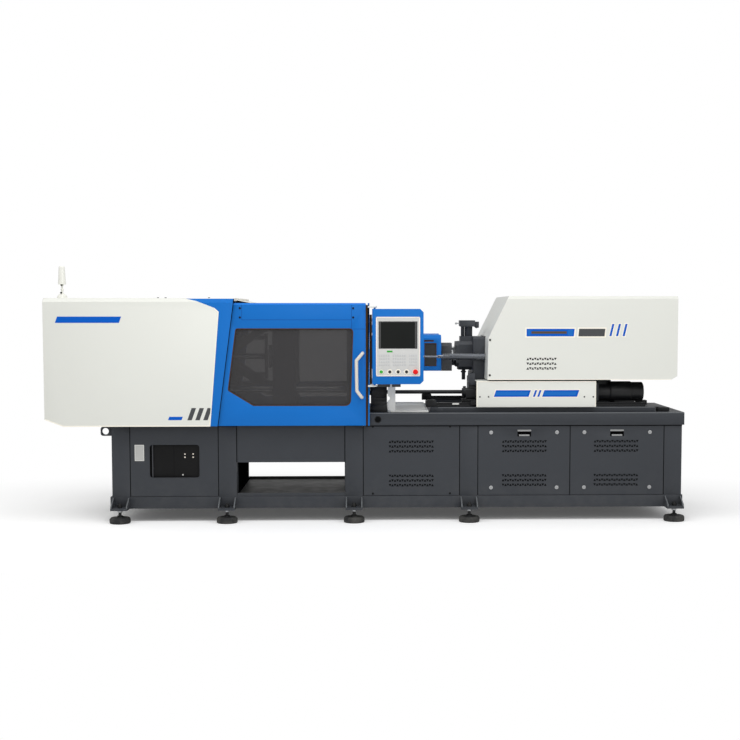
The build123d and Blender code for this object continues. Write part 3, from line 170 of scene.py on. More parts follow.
def to_front(out: Vector, share: float = 0.5) -> bool:
    """Tell whether a normal points towards the operator by more than a share of its length."""
    return out.y < -share


def edge_on(out: Vector) -> bool:
    """Tell whether a normal points neither to the front nor to the rear, as a hole's wall does."""
    return abs(out.y) < 0.1


class Net:
    """Adds shader nodes to a tree and joins them."""

    def __init__(self, tree: bpy.types.NodeTree) -> None:
        """Keep the tree that nodes are added to."""
        self.tree = tree

    def add(self, kind: str, sockets: dict | None = None, **settings: Any) -> bpy.types.Node:
        """Add a node.

        Args:
            kind: Blender's name of the node type.
            sockets: Socket name or number to a value, or to the output that feeds it.
            settings: The node's own options.

        Returns:
            The new node.
        """
        node = self.tree.nodes.new(kind)
        for key, value in settings.items():
            setattr(node, key, value)
        for key, value in (sockets or {}).items():
            if isinstance(value, bpy.types.NodeSocket):
                self.tree.links.new(value, node.inputs[key])
            else:
                node.inputs[key].default_value = value
        return node

    def maths(self, operation: str, first: Any, second: Any = 0.5) -> bpy.types.NodeSocket:
        """Return the result of a calculation on two values or outputs."""
        return self.add("ShaderNodeMath", {0: first, 1: second}, operation=operation).outputs[0]

    def mix(self, first: Any, second: Any, share: float) -> bpy.types.NodeSocket:
        """Return a share of one output, added to the rest of another."""
        return self.maths("ADD", self.maths("MULTIPLY", first, share),
                          self.maths("MULTIPLY", second, round(1.0 - share, 6)))

    def noise(self, vector: Any, scale: Any, detail: float = 2.0) -> bpy.types.NodeSocket:
        """Return a noise value over the surface."""
        sockets = {"Vector": vector, "Scale": scale, "Detail": detail}
        return self.add("ShaderNodeTexNoise", sockets).outputs[0]

    def remap(self, value: Any, low: Any, high: Any, start: float = 0.3,
              end: float = 0.7) -> bpy.types.NodeSocket:
        """Stretch a value to other limits.

        Args:
            value: The value, or the output that holds it.
            low: What it becomes at start.
            high: What it becomes at end.
            start: The value that becomes low.
            end: The value that becomes high.

        Returns:
            The output that holds the new value.
        """
        sockets = {"Value": value, "From Min": start, "From Max": end, "To Min": low,
                   "To Max": high}
        return self.add("ShaderNodeMapRange", sockets).outputs[0]


class MaterialMaker:
    """Builds the shared surface groups once, and a material from each finish."""

    INPUTS = (("Vector", "NodeSocketVector"), ("Colour", "NodeSocketColor"),
              ("Tint", "NodeSocketFloat"), ("Grain", "NodeSocketFloat"),
              ("Roughness", "NodeSocketFloat"), ("Dust", "NodeSocketFloat"))
    OUTPUTS = (("Colour", "NodeSocketColor"), ("Roughness", "NodeSocketFloat"),
               ("Height", "NodeSocketFloat"))
    DUST_COLOUR = (168, 164, 156)
    DUST_TOP = 0.4
    DUST_SCALE = 14.0
    PATCH_SCALE = 1.7
    GLOSS_SCALE = 9.0
    BUMP_DISTANCE = 0.0008
    COAT_ROUGHNESS = 0.12

    def group(self, relief: Relief) -> bpy.types.NodeTree:
        """Return the surface group of a relief, built on first use.

        Args:
            relief: Which structure the group draws.

        Returns:
            A node tree with a colour, a roughness and a height.
        """
        name = f"surface_{relief.value}"
        known = bpy.data.node_groups.get(name)
        if known:
            return known
        tree = bpy.data.node_groups.new(name, "ShaderNodeTree")
        for way, sockets in (("INPUT", self.INPUTS), ("OUTPUT", self.OUTPUTS)):
            for label, kind in sockets:
                tree.interface.new_socket(name=label, in_out=way, socket_type=kind)
        net = Net(tree)
        given = net.add("NodeGroupInput").outputs
        height, spread = self._structure(net, relief, given)
        patch = net.noise(given["Vector"], self.PATCH_SCALE, 3.0)
        low = net.maths("SUBTRACT", 1.0, given["Tint"])
        high = net.maths("ADD", 1.0, given["Tint"])
        value = net.remap(net.mix(patch, height, 0.6), low, high)
        shade = net.add("ShaderNodeHueSaturation", {"Value": value, "Color": given["Colour"]})
        dusty = self._dust(net, given, shade.outputs[0])
        gloss = net.remap(net.noise(given["Vector"], self.GLOSS_SCALE), -spread, spread)
        rough = net.maths("ADD", given["Roughness"], gloss)
        net.add("NodeGroupOutput", {"Colour": dusty, "Roughness": rough, "Height": height})
        return tree

    @staticmethod
    def _structure(net: Net, relief: Relief, given: Any) -> tuple[bpy.types.NodeSocket, float]:
        """Draw the fine structure of a surface.

        Args:
            net: The group's tree.
            relief: Which structure to draw.
            given: The outputs of the group's input node.

        Returns:
            The structure's height, and how far the roughness varies.
        """
        place, grain = given["Vector"], given["Grain"]
        if relief is Relief.BRUSHED:
            along = net.add("ShaderNodeVectorMath", {0: place, 1: (0.03, 1.0, 1.0)},
                            operation="MULTIPLY")
            return net.noise(along.outputs[0], grain, 3.0), 0.10
        if relief is Relief.CAST:
            pits = net.add("ShaderNodeTexVoronoi", {"Vector": place, "Scale": grain}).outputs[0]
            lumps = net.noise(place, net.maths("MULTIPLY", grain, 0.3), 4.0)
            return net.mix(pits, lumps, 0.4), 0.08
        fine = net.noise(place, grain, 1.0)
        if relief is Relief.MOULDED:
            return fine, 0.04
        wave = net.noise(place, net.maths("MULTIPLY", grain, 0.2), 2.0)
        return net.mix(fine, wave, 0.7), 0.06

    def _dust(self, net: Net, given: Any, colour: Any) -> bpy.types.NodeSocket:
        """Mix pale dust into a colour, more of it near the floor.

        Args:
            net: The group's tree.
            given: The outputs of the group's input node.
            colour: The output that holds the clean colour.

        Returns:
            The output that holds the dusty colour.
        """
        height = net.add("ShaderNodeSeparateXYZ", {0: given["Vector"]}).outputs[2]
        near = net.remap(height, 1.0, 0.0, 0.0, self.DUST_TOP)
        cloud = net.noise(given["Vector"], self.DUST_SCALE, 4.0)
        cloud = net.remap(cloud, 0.0, 1.0, 0.35, 0.75)
        mask = net.maths("MULTIPLY", net.maths("MULTIPLY", near, cloud), given["Dust"])
        sockets = {0: mask, 6: colour, 7: linear(self.DUST_COLOUR)}
        return net.add("ShaderNodeMix", sockets, data_type="RGBA").outputs[2]

    def make(self, finish: Finish) -> bpy.types.Material:
        """Build the material of a finish.

        Args:
            finish: The colour, gloss and structure asked for.

        Returns:
            A material on Object coordinates.
        """
        material = bpy.data.materials.new(f"{finish.name}_finish")
        material.use_nodes = True
        net = Net(material.node_tree)
        net.tree.nodes.clear()
        place = net.add("ShaderNodeTexCoord").outputs["Object"]
        surface = net.add("ShaderNodeGroup", node_tree=self.group(finish.relief))
        net.tree.links.new(place, surface.inputs["Vector"])
        values = {"Colour": linear(finish.colour), "Tint": finish.tint, "Grain": finish.grain,
                  "Roughness": finish.roughness, "Dust": finish.dust}
        for label, value in values.items():
            surface.inputs[label].default_value = value
        bump = net.add("ShaderNodeBump", {
            "Height": surface.outputs["Height"], "Strength": finish.depth,
            "Distance": self.BUMP_DISTANCE})
        shader = net.add("ShaderNodeBsdfPrincipled", {
            "Base Color": surface.outputs["Colour"], "Roughness": surface.outputs["Roughness"],
            "Normal": bump.outputs[0], "Metallic": finish.metallic, "Coat Weight": finish.coat,
            "Coat Roughness": self.COAT_ROUGHNESS, "Alpha": finish.alpha,
            "Specular IOR Level": finish.specular})
        net.add("ShaderNodeOutputMaterial", {"Surface": shader.outputs[0]})
        material.diffuse_color = linear(finish.colour)
        return material


BED_GREY = Finish("bed_paint", "bed_paint", (58, 61, 66), roughness=0.5, grain=520, depth=0.18,
                  dust=0.06, specular=0.3)
# Paler copy of the bed paint: a painted highlight on edges that face the light.
BED_PAINTED_HIGHLIGHT = Finish("bed_painted_highlight", "bed_paint", (104, 107, 110), roughness=0.45, grain=520, depth=0.18,
                  specular=0.3)
BED_BLACK = Finish("bed_black", "cabinet_black", (24, 25, 27), roughness=0.5, dust=0.08,
                   specular=0.3)
CABINET = Finish("cabinet_black", "cabinet_black", (14, 14, 15), roughness=0.5, specular=0.2)
# Paler copy of the bed paint for the door pulls' lips: a painted highlight.
PULL_LIP_PAINTED_HIGHLIGHT = Finish("pull_lip_painted_highlight", "bed_paint", (156, 157, 157), roughness=0.4, grain=520, specular=0.4)
TRAY_FLOOR = Finish("chute_floor", "bed_paint", (84, 84, 83), roughness=0.5, specular=0.3,
                    tint=0.08, dust=0.3)
CHUTE_WALL = Finish("chute_wall", "cabinet_black", (15, 16, 17), roughness=0.8, specular=0.0)
WHITE = Finish("cover_white", "cover_white", (229, 230, 223), tint=0.012, depth=0.08, specular=0.35)
# Paler copy of the cover white: a painted highlight along the covers' folded edges; it is also the
# white of button rings and bar borders.
HEM_AND_PAINTED_HIGHLIGHT = Finish("cover_hem_and_painted_highlight", "cover_white", (252, 247, 233), roughness=0.4, tint=0.01, depth=0.05,
             specular=0.35)
BLUE = Finish("cover_blue", "cover_blue", (17, 110, 195), tint=0.02, depth=0.08, specular=0.15)
BLUE_SEAM = Finish("blue_seam", "cover_blue", (10, 74, 150), roughness=0.6, tint=0.02, specular=0.2)
# Paler copy of the cover blue: a painted highlight along the gate's top.
BLUE_PAINTED_HIGHLIGHT = Finish("blue_painted_highlight", "cover_blue", (24, 126, 226), roughness=0.4, tint=0.02,
                   specular=0.3)
CASTING = Finish("casting", "casting", (58, 61, 66), Relief.CAST, roughness=0.5, grain=240,
                 depth=0.30, specular=0.4)
DARK_CASTING = Finish("dark_casting", "casting", (57, 60, 65), Relief.CAST, roughness=0.48,
                      grain=260, depth=0.25, specular=0.4)
BLACK_CASTING = Finish("black_casting", "casting", (20, 21, 23), Relief.CAST, roughness=0.5,
                       grain=260, depth=0.25, specular=0.35)
GUARD_GREY = Finish("guard_grey", "casting", (66, 68, 72), roughness=0.45, grain=300, specular=0.4)
STEEL = Finish("steel", "steel", (176, 178, 180), Relief.BRUSHED, roughness=0.34, metallic=1.0,
               grain=900)
ZINC = Finish("zinc", "steel", (176, 177, 178), Relief.BRUSHED, roughness=0.4, metallic=0.6,
              grain=700, tint=0.03)
CHROME = Finish("hard_chrome", "hard_chrome", (205, 207, 210), Relief.BRUSHED, roughness=0.16,
                metallic=1.0, grain=1400, depth=0.05, tint=0.03)
TIE_BAR = Finish("tie_bar", "hard_chrome", (222, 223, 225), Relief.BRUSHED, roughness=0.1,
                 metallic=1.0, grain=1400, depth=0.01, tint=0.02)
CYLINDER = Finish("cylinder_paint", "hard_chrome", (94, 97, 102), Relief.BRUSHED, roughness=0.26,
                  metallic=0.5, grain=900, depth=0.06, tint=0.03)
ROD = Finish("rod_steel", "hard_chrome", (150, 152, 156), Relief.BRUSHED, roughness=0.22,
             metallic=1.0, grain=1400, depth=0.05, tint=0.03)
BLACK_STEEL = Finish("black_steel", "cabinet_black", (26, 27, 29), Relief.BRUSHED, roughness=0.38,
                     metallic=0.5, grain=900)
SCREW_BLACK = Finish("screw_black", "cabinet_black", (9, 9, 10), Relief.MOULDED, roughness=0.5,
                     specular=0.2)
RUBBER = Finish("pad_rubber", "pad_rubber", (34, 35, 36), Relief.MOULDED, roughness=0.7, grain=300,
                depth=0.3, tint=0.08, dust=0.25, specular=0.35)
PANE = Finish("window_pane", "window_pane", (75, 74, 75), Relief.MOULDED, roughness=0.25, grain=60,
              depth=0.01, alpha=0.62, tint=0.02, specular=0.1)
PANE_SHUT = Finish("guard_pane", "window_pane", (60, 60, 61), Relief.MOULDED, roughness=0.3,
                   grain=60, depth=0.01, tint=0.02, specular=0.15)
HANDLE = Finish("handle", "handle", (224, 218, 206), roughness=0.3, tint=0.02, depth=0.05, coat=0.2)
MOTOR = Finish("motor_black", "motor_black", (19, 20, 22), Relief.CAST, grain=500, depth=0.15,
               specular=0.4)
MOTOR_GREY = Finish("motor_grey", "motor_black", (52, 55, 60), Relief.CAST, roughness=0.45,
                    grain=500, depth=0.15, specular=0.4)
BEZEL = Finish("bezel_grey", "bezel_grey", (209, 209, 207), Relief.MOULDED, roughness=0.45,
               grain=900, tint=0.01, specular=0.3)
CREAM = Finish("cream_trim", "bezel_grey", (250, 240, 226), Relief.MOULDED, roughness=0.4,
               tint=0.01, specular=0.3)
KEY = Finish("membrane_key", "bezel_grey", (200, 201, 201), Relief.MOULDED, roughness=0.5,
             tint=0.02, specular=0.3)
SCREEN = Finish("screen", "button_black", (23, 25, 24), Relief.MOULDED, roughness=0.35, grain=80,
                depth=0.01, specular=0.15)
SCREEN_EDGE = Finish("screen_edge", "button_black", (78, 78, 79), Relief.MOULDED, roughness=0.4,
                     specular=0.2)
LAMP = Finish("lamp", "lamp", (236, 236, 228), Relief.MOULDED, roughness=0.3, coat=0.3, tint=0.01)
GREEN = Finish("button_green", "button_green", (26, 164, 26), Relief.MOULDED, roughness=0.28,
               tint=0.03, coat=0.2)
BLACK = Finish("button_black", "button_black", (17, 17, 18), Relief.MOULDED, roughness=0.3,
               tint=0.03, coat=0.2)
RED = Finish("button_red", "button_red", (230, 8, 14), Relief.MOULDED, roughness=0.34, tint=0.03,
             specular=0.3)
TRAY = Finish("tray_grey", "tray_grey", (240, 240, 235), Relief.BRUSHED, roughness=0.45, grain=600,
              tint=0.04, specular=0.35)
SEAL = Finish("brown_seal", "pad_rubber", (78, 51, 22), Relief.MOULDED, roughness=0.6, specular=0.2)
SLOT = Finish("slot_film", "cabinet_black", (88, 76, 60), Relief.MOULDED, roughness=0.5,
              specular=0.2)
# Near-black for seals between panels and, in most places, painted shade in gaps, holes and
# recesses.
SHADOW = Finish("dark_seal_and_painted_shade", "cabinet_black", (10, 10, 11), Relief.MOULDED, roughness=0.8,
                specular=0.1)
PLATE = Finish("name_plate", "tray_grey", (190, 190, 187), Relief.BRUSHED, roughness=0.45,
               grain=700)
STRIPE = Finish("blue_film", "cover_blue", (0, 91, 196), Relief.MOULDED, roughness=0.5, tint=0.02,
                specular=0.12)
STRIPE_CORE = Finish("blue_film_core", "cover_blue", (26, 108, 194), Relief.MOULDED, roughness=0.5,
                     tint=0.02, specular=0.15)
GREY_FILM = Finish("grey_film", "cabinet_black", (72, 74, 76), Relief.MOULDED, roughness=0.4,
                   tint=0.02, specular=0.3)
HEATER = Finish("heater_band", "steel", (150, 146, 138), Relief.BRUSHED, metallic=0.9, grain=500)


class Form:
    """A mesh under construction, whose parts each keep their own finish."""

    def __init__(self) -> None:
        """Start with an empty mesh."""
        self.mesh = bmesh.new()
        self.finishes: list[Finish] = []

    def _fresh(self, known: set[BMFace]) -> list[BMFace]:
        """Return the faces that aren't among the known ones."""
        return [face for face in self.mesh.faces if face not in known]

    def _coat(self, known: set[BMFace], finish: Finish) -> None:
        """Give every new face a finish.

        Args:
            known: The faces that were there before.
            finish: The finish of the others.
        """
        if finish not in self.finishes:
            self.finishes.append(finish)
        for face in self._fresh(known):
            face.material_index = self.finishes.index(finish)

    def _bevel(self, edges: Iterable[BMEdge], width: float) -> None:
        """Round some edges by a width."""
        bmesh.ops.bevel(self.mesh, geom=list(edges), offset=width, segments=2, profile=0.5,
                        affect="EDGES", material=-1)

    def box(self, x: Span, y: Span, z: Span, finish: Finish, radius: float = 0.0) -> None:
        """Add a box.

        Args:
            x: Its limits on X.
            y: Its limits on Y.
            z: Its limits on Z.
            finish: Its finish.
            radius: Rounding of its edges.
        """
        known = set(self.mesh.faces)
        size = Matrix.Diagonal((x[1] - x[0], y[1] - y[0], z[1] - z[0], 1.0))
        middle = ((x[0] + x[1]) / 2, (y[0] + y[1]) / 2, (z[0] + z[1]) / 2)
        place = Matrix.Translation(middle) @ size
        made = bmesh.ops.create_cube(self.mesh, size=1.0, matrix=place)["verts"]
        if radius:
            self._bevel({edge for vert in made for edge in vert.link_edges}, radius)
        self._coat(known, finish)

    def disc(self, axis: Axis, centre: Sequence[float], radii: Span, depth: float, finish: Finish,
             sides: int = 16, socket: float = 0.0, edge: float = 0.0, lip: float = 0.45) -> None:
        """Add a turned disc or cone along an axis.

        Args:
            axis: The direction from its first face to its second.
            centre: The middle of its first face.
            radii: Radii of its first and second face.
            depth: Its height.
            finish: Its finish.
            sides: Number of sides.
            socket: Depth of a drive socket sunk into the second face.
            edge: Width of the bevel round the second face.
            lip: Width left round the socket, as a share of the second radius.
        """
        known = set(self.mesh.faces)
        turn = Matrix.Identity(4) if axis is Axis.UP else Matrix.Rotation(pi / 2, 4, "X")
        place = Matrix.Translation(centre) @ turn @ Matrix.Translation((0, 0, depth / 2))
        bmesh.ops.create_cone(self.mesh, cap_ends=True, cap_tris=False, segments=sides,
                              radius1=radii[0], radius2=radii[1], depth=depth, matrix=place)
        out = turn.to_3x3() @ Vector((0, 0, 1))
        if edge:
            self._bevel(self._end(known, out).edges, edge)
        if socket:
            end = [self._end(known, out)]
            bmesh.ops.inset_individual(self.mesh, faces=end, thickness=radii[1] * lip)
            bmesh.ops.inset_individual(self.mesh, faces=end, thickness=HAIR, depth=-socket)
        self._coat(known, finish)

    def _end(self, known: set[BMFace], out: Vector) -> BMFace:
        """Find the large new face that looks in a direction.

        Args:
            known: The faces that were there before.
            out: The direction.

        Returns:
            The face with the largest area across that direction.
        """
        self.mesh.normal_update()
        return max(self._fresh(known), key=lambda face: face.normal.dot(out) * face.calc_area())

    def plate(self, outline: Sequence[Point], y: Span, finish: Finish) -> None:
        """Add a plate that faces the operator.

        Args:
            outline: Its corners as x and z.
            y: Its limits on Y.
            finish: Its finish.
        """
        known = set(self.mesh.faces)
        self.mesh.faces.new([self.mesh.verts.new((u, y[1], v)) for u, v in outline])
        self._pull(y[1] - y[0], known)
        self._coat(known, finish)

    def _pull(self, depth: float, known: set[BMFace]) -> None:
        """Pull the flat new faces forward into a solid whose faces point outwards.

        Args:
            depth: How far they are pulled.
            known: The faces that were there before.
        """
        made = bmesh.ops.extrude_face_region(self.mesh, geom=self._fresh(known))["geom"]
        front = [item for item in made if isinstance(item, BMVert)]
        bmesh.ops.translate(self.mesh, verts=front, vec=(0.0, -depth, 0.0))
        bmesh.ops.recalc_face_normals(self.mesh, faces=self._fresh(known))

    def rim(self, corners: Sequence[Corner], y: float, width: float, depth: float, finish: Finish,
            keep: Callable[[Vector], bool] | None = None) -> None:
        """Add a raised border inside an outline that faces the operator.

        Args:
            corners: The outline's corners as x, z and rounding radius.
            y: The plane that the border stands on.
            width: Its width, inwards from the outline.
            depth: Its height over the plane.
            finish: Its finish.
            keep: Test on a segment's middle; segments that fail it are left out.
        """
        known = set(self.mesh.faces)
        verts = [self.mesh.verts.new((x, y, z)) for x, z, _ in corners]
        self.mesh.faces.new(verts)
        for vert, (_, _, radius) in zip(verts, corners):
            if radius:
                bmesh.ops.bevel(self.mesh, geom=[vert], offset=radius, segments=6, profile=0.5,
                                affect="VERTICES", material=-1)
        self.mesh.normal_update()
        ring = bmesh.ops.inset_region(self.mesh, faces=self._fresh(known), thickness=width,
                                      use_boundary=True, use_even_offset=True)["faces"]
        inner = [face for face in self._fresh(known) if face not in ring]
        spare = [face for face in ring if keep and not keep(face.calc_center_median())]
        bmesh.ops.delete(self.mesh, geom=inner + spare, context="FACES")
        self._pull(depth, known)
        self._coat(known, finish)

    def bar(self, x: Span, z: Span, y: float, finish: Finish, lean: Span = UPRIGHT,
            grow: float = 0.0, height: float = FILM) -> None:
        """Add a plain bar on a surface that faces the operator.

        Args:
            x: Its ends along the bottom.
            z: Its bottom and top.
            y: The surface that it stands on.
            finish: Its finish.
            lean: How far its left and right end lean to the right at the top.
            grow: Width added all round.
            height: Its height over the surface.
        """
        (left, right), (low, high) = grown(x, grow), grown(z, grow)
        outline = ((left, low), (right, low), (right + lean[1], high), (left + lean[0], high))
        self.plate(outline, raised(y, height, 0.0002), finish)

    def edged_bar(self, x: Span, z: Span, y: float, finish: Finish, border: Finish, width: float,
                  lean: Span = UPRIGHT) -> None:
        """Add a bar on top of a wider one that shows as its border.

        Args:
            x: Its ends along the bottom.
            z: Its bottom and top.
            y: The surface that it stands on.
            finish: Its finish.
            border: The border's finish.
            width: The border's width.
            lean: How far its left and right end lean to the right at the top.
        """
        self.bar(x, z, y, border, lean, width)
        self.bar(x, z, y, finish, lean, height=SECOND_FILM)

    def screws(self, places: Iterable[Point], y: float, radius: float = SCREW_RADIUS,
               height: float = 0.003) -> None:
        """Add black socket screw heads that face the operator.

        Args:
            places: Their middles as x and z.
            y: The surface that they stand on.
            radius: Their radius.
            height: Their height over the surface.
        """
        for x, z in places:
            self.disc(Axis.FRONT, (x, y, z), (radius, radius), height, SCREW_BLACK,
                      socket=height * 0.6, edge=min(radius, height) * 0.3)

    def piece(self, name: str, body: str, smooth: float = 35.0) -> bpy.types.Object:
        """Turn the form into a finished piece.

        Args:
            name: The piece's name.
            body: The frame body that it moves with.
            smooth: Edges sharper than this many degrees stay sharp.

        Returns:
            The new object.
        """
        data = bpy.data.meshes.new(name)
        self.mesh.to_mesh(data)
        self.mesh.free()
        for finish in self.finishes:
            data.materials.append(finish.material())
        data.shade_smooth()
        data.set_sharp_from_angle(angle=radians(smooth))
        item = bpy.data.objects.new(name, data)
        bpy.context.scene.collection.objects.link(item)
        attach(item, body)
        LOG.info("%s: %d faces on %s", name, len(data.polygons), body)
        return item


def skin(node: str, finish: Finish, width: float = 0.0015,
         paint: Sequence[tuple[Finish, Test]] = ()) -> None:
    """Stand a copy of a frame node in its place, with rounded edges and its own finishes.

    Args:
        node: The frame node.
        finish: Its main finish.
        width: Width of the rounding on its edges.
        paint: Other finishes, each with a test on a face's middle and normal; the last that
            fits is used.
    """
    source = frame["nodes"][node]
    form = Form()
    form.mesh.from_mesh(source.data)
    bmesh.ops.remove_doubles(form.mesh, verts=form.mesh.verts, dist=HAIR)
    bmesh.ops.dissolve_limit(form.mesh, angle_limit=radians(FLAT_ANGLE), verts=form.mesh.verts,
                             edges=form.mesh.edges)
    form.mesh.normal_update()
    form.finishes = [finish] + [extra for extra, _ in paint]
    for face in form.mesh.faces:
        face.material_index = 0
        for number, (_, test) in enumerate(paint, 1):
            if test(face.calc_center_median(), face.normal):
                face.material_index = number
    item = form.piece(f"{node}_skin", source["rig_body"], SHARP_ANGLE)
    if width:
        item.data.shade_smooth()
        for edge in item.data.edges:
            edge.use_edge_sharp = False
        rounding = item.modifiers.new("rounding", "BEVEL")
        rounding.width = width
        rounding.segments = 2
        rounding.limit_method = "ANGLE"
        rounding.angle_limit = radians(SHARP_ANGLE)
        rounding.harden_normals = True
        rounding.use_clamp_overlap = True
    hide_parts(node)


def dress(node: str, finish: Finish) -> None:
    """Give a frame node that is shown as it is a finish.

    Args:
        node: The frame node.
        finish: Its finish.
    """
    item = frame["nodes"][node]
    for place in item.material_slots:
        place.link = "OBJECT"
        place.material = finish.material()
    LOG.info("%s: dressed in %s", node, finish.name)


@dataclass
class Bed:
    """Welded bed with its panels, doors, feet and the deck under the injection unit."""

    front: float = -0.544
    seams: tuple[float, ...] = (-1.8535, -1.1685, -0.0385, 0.7175, 0.8605, 1.5865, 2.3285)
    apron_seams: tuple[float, ...] = (-1.0255, -0.1815)
    seam_top: float = 0.748
    window_x: Span = (-1.7065, -1.3105)
    window_z: Span = (0.3405, 0.6075)
    name_plate: Area = ((-1.817, -1.745), (0.477, 0.603))
    panel_screws: tuple[Point, ...] = (
        (0.037, 0.740), (0.642, 0.740), (0.037, 0.214), (0.642, 0.214))
    cable_hole: Point = (0.077, 0.798)
    pulls: tuple[float, ...] = (1.2255, 1.9575)
    vents: tuple[float, ...] = (0.171, 1.060, 1.784)
    cabinet: float = -0.520
    cabinet_z: Span = (0.27, 0.63)
    terminals: tuple[Point, ...] = (
        (-1.431, 0.528), (-1.431, 0.503), (-1.367, 0.528), (-1.367, 0.503))
    stud: Point = (-1.448, 0.365)
    # Limits of the places that get another finish.
    sheet_y: Span = (-0.5435, -0.5405)
    pull_z: Span = (0.661, 0.714)
    pull_half: float = 0.054
    pull_front: float = -0.543
    sill_z: Span = (0.122, 0.200)
    sill_front: float = -0.56
    collar_z: Span = (0.084, 0.104)
    tray_top: float = 0.23
    tray_rear: float = 0.4
    chute_left: float = -0.9

    def build(self) -> None:
        """Dress the bed and add its small pieces."""
        for node in ("window_panel", "rear_panels"):
            skin(node, BED_GREY, 0.0)
        # Vent hole walls, cut sheet edges and the door pulls' pockets are painted near-black as
        # painted shade.
        skin("vent_panel", BED_GREY, 0.0, [(SHADOW, self._painted_shade_sheet_edge)])
        skin("access_doors", BED_GREY, 0.0, [
            (SHADOW, lambda at, out: self._painted_shade_pull_pocket(at) or self._painted_shade_sheet_edge(at, out))])
        # The chute's far wall, where it faces the operator, takes the floor's paler grey: painted
        # light that lifts it out of its shadow.
        skin("drop_chute", BED_GREY, 0.0, [
            (TRAY_FLOOR, lambda at, out: at.z < self.tray_top
             and (not to_front(out) or at.y > self.tray_rear)),
            (CHUTE_WALL, lambda at, out: out.x > 0.5 and at.x < self.chute_left)])
        # Front faces at sill height ahead of the sill take the paler bed paint: a painted
        # highlight.
        skin("base_frame", BED_GREY, 0.002, [
            (BED_PAINTED_HIGHLIGHT, lambda at, out: inside(at.z, self.sill_z) and to_front(out, 0.3)
             and at.y < self.sill_front)])
        # The deck's front faces take the paler bed paint: a painted highlight.
        skin("injection_deck", BED_GREY, 0.002, [(BED_PAINTED_HIGHLIGHT, lambda at, out: to_front(out))])
        skin("drive_cabinet", CABINET, 0.002)
        skin("door_latches", ZINC, 0.0008, [(BED_BLACK, lambda at, out: not to_front(out, 0.8))])
        skin("levelling_bolts", BED_BLACK, 0.0012, [
            (STEEL, lambda at, out: inside(at.z, self.collar_z))])
        skin("levelling_pads", RUBBER, 0.003)
        self._seams()
        self._openings()
        self._fittings()
        self._cabinet_front()

    def _painted_shade_sheet_edge(self, at: Vector, out: Vector) -> bool:
        """Tell whether a face is a cut edge of the panels' sheet, as a vent hole's wall is; these
        are painted dark as painted shade.
        """
        return edge_on(out) and inside(at.y, self.sheet_y)

    def _painted_shade_pull_pocket(self, at: Vector) -> bool:
        """Tell whether a place lies in the pocket of a door pull, which is painted dark as painted
        shade.
        """
        beside = any(abs(at.x - x) < self.pull_half for x in self.pulls)
        return beside and inside(at.z, self.pull_z) and at.y > self.pull_front

    def _seams(self) -> None:
        """Black seals between posts and panels, and a painted shadow under the deck rail."""
        form = Form()
        for places, foot in ((self.seams, 0.199), (self.apron_seams, 0.463)):
            for x in places:
                form.box(around(x, SEAM_HALF), raised(self.front, 0.0014, 0.001),
                         (foot, self.seam_top), SHADOW)
        # The strip under the deck rail is painted shadow of the rail's overhang.
        form.box((-0.017, 2.470), raised(self.front, 0.0068, -0.001), (0.743, 0.7505), SHADOW)
        form.piece("bed_seals_and_painted_shadow", "machine")

    def _openings(self) -> None:
        """Window border, lips of the door pulls in a painted highlight, and painted shade behind
        the vents.
        """
        form = Form()
        corners = rectangle(self.window_x, self.window_z, 0.022)
        form.rim(corners, self.front + 0.0002, 0.0052, 0.0012, BED_GREY)
        form.piece("bed_window_border", "machine")
        form = Form()
        # The pulls' lips are a paler bed paint: a painted highlight.
        for x in self.pulls:
            for half, z in ((0.0535, (0.7005, 0.7135)), (0.041, (0.6635, 0.6755))):
                form.box(around(x, half), raised(self.front, 0.0005, 0.0095), z, PULL_LIP_PAINTED_HIGHLIGHT, 0.001)
        form.piece("pull_lips", "machine")
        form = Form()
        # The black plates behind the vents are painted shade that darkens the holes.
        for x in self.vents:
            for z in (0.279, 0.547):
                form.box((x - 0.016, x + 0.3492), raised(self.front, -0.0042, 0.0055),
                         (z - 0.016, z + 0.090), SHADOW)
        form.piece("vent_painted_shade", "machine")

    def _fittings(self) -> None:
        """Panel screws, blank name plate and cable grommet."""
        form = Form()
        form.screws(self.panel_screws, self.front)
        form.piece("panel_screws", "machine")
        form = Form()
        x, z = self.name_plate
        border = -0.004
        form.box(x, raised(self.front, 0.0012), z, TRAY, 0.0005)
        form.box(grown(x, border), raised(self.front, 0.0015, -0.001), grown(z, border), PLATE)
        form.piece("name_plate", "machine")
        form = Form()
        x, z = self.cable_hole
        form.disc(Axis.FRONT, (x, -0.560, z), (0.0275, 0.0265), 0.003, RUBBER, 32, socket=0.0022,
                  edge=0.0008, lip=0.14)
        # The near-black disc in the grommet's middle is painted shade in its hole.
        form.disc(Axis.FRONT, (x, -0.5602, z), (0.022, 0.022), 0.0012, SHADOW, 32)
        form.piece("cable_grommet", "machine")

    def _cabinet_front(self) -> None:
        """Strip, seams and terminals on the drive cabinet, seen through the bed's window."""
        form = Form()
        for x, height, finish, radius in (((-1.6855, -1.6775), 0.012, GUARD_GREY, 0.001),
                                          ((-1.702, -1.689), 0.006, SHADOW, 0.0),
                                          ((-1.518, -1.516), 0.0006, SHADOW, 0.0)):
            form.box(x, raised(self.cabinet, height), self.cabinet_z, finish, radius)
        for (x, z), finish in [(place, CREAM) for place in self.terminals] + [(self.stud, TRAY)]:
            form.disc(Axis.FRONT, (x, self.cabinet, z), (0.006, 0.0055), 0.004, finish, edge=0.001)
        form.piece("cabinet_fittings", "machine")


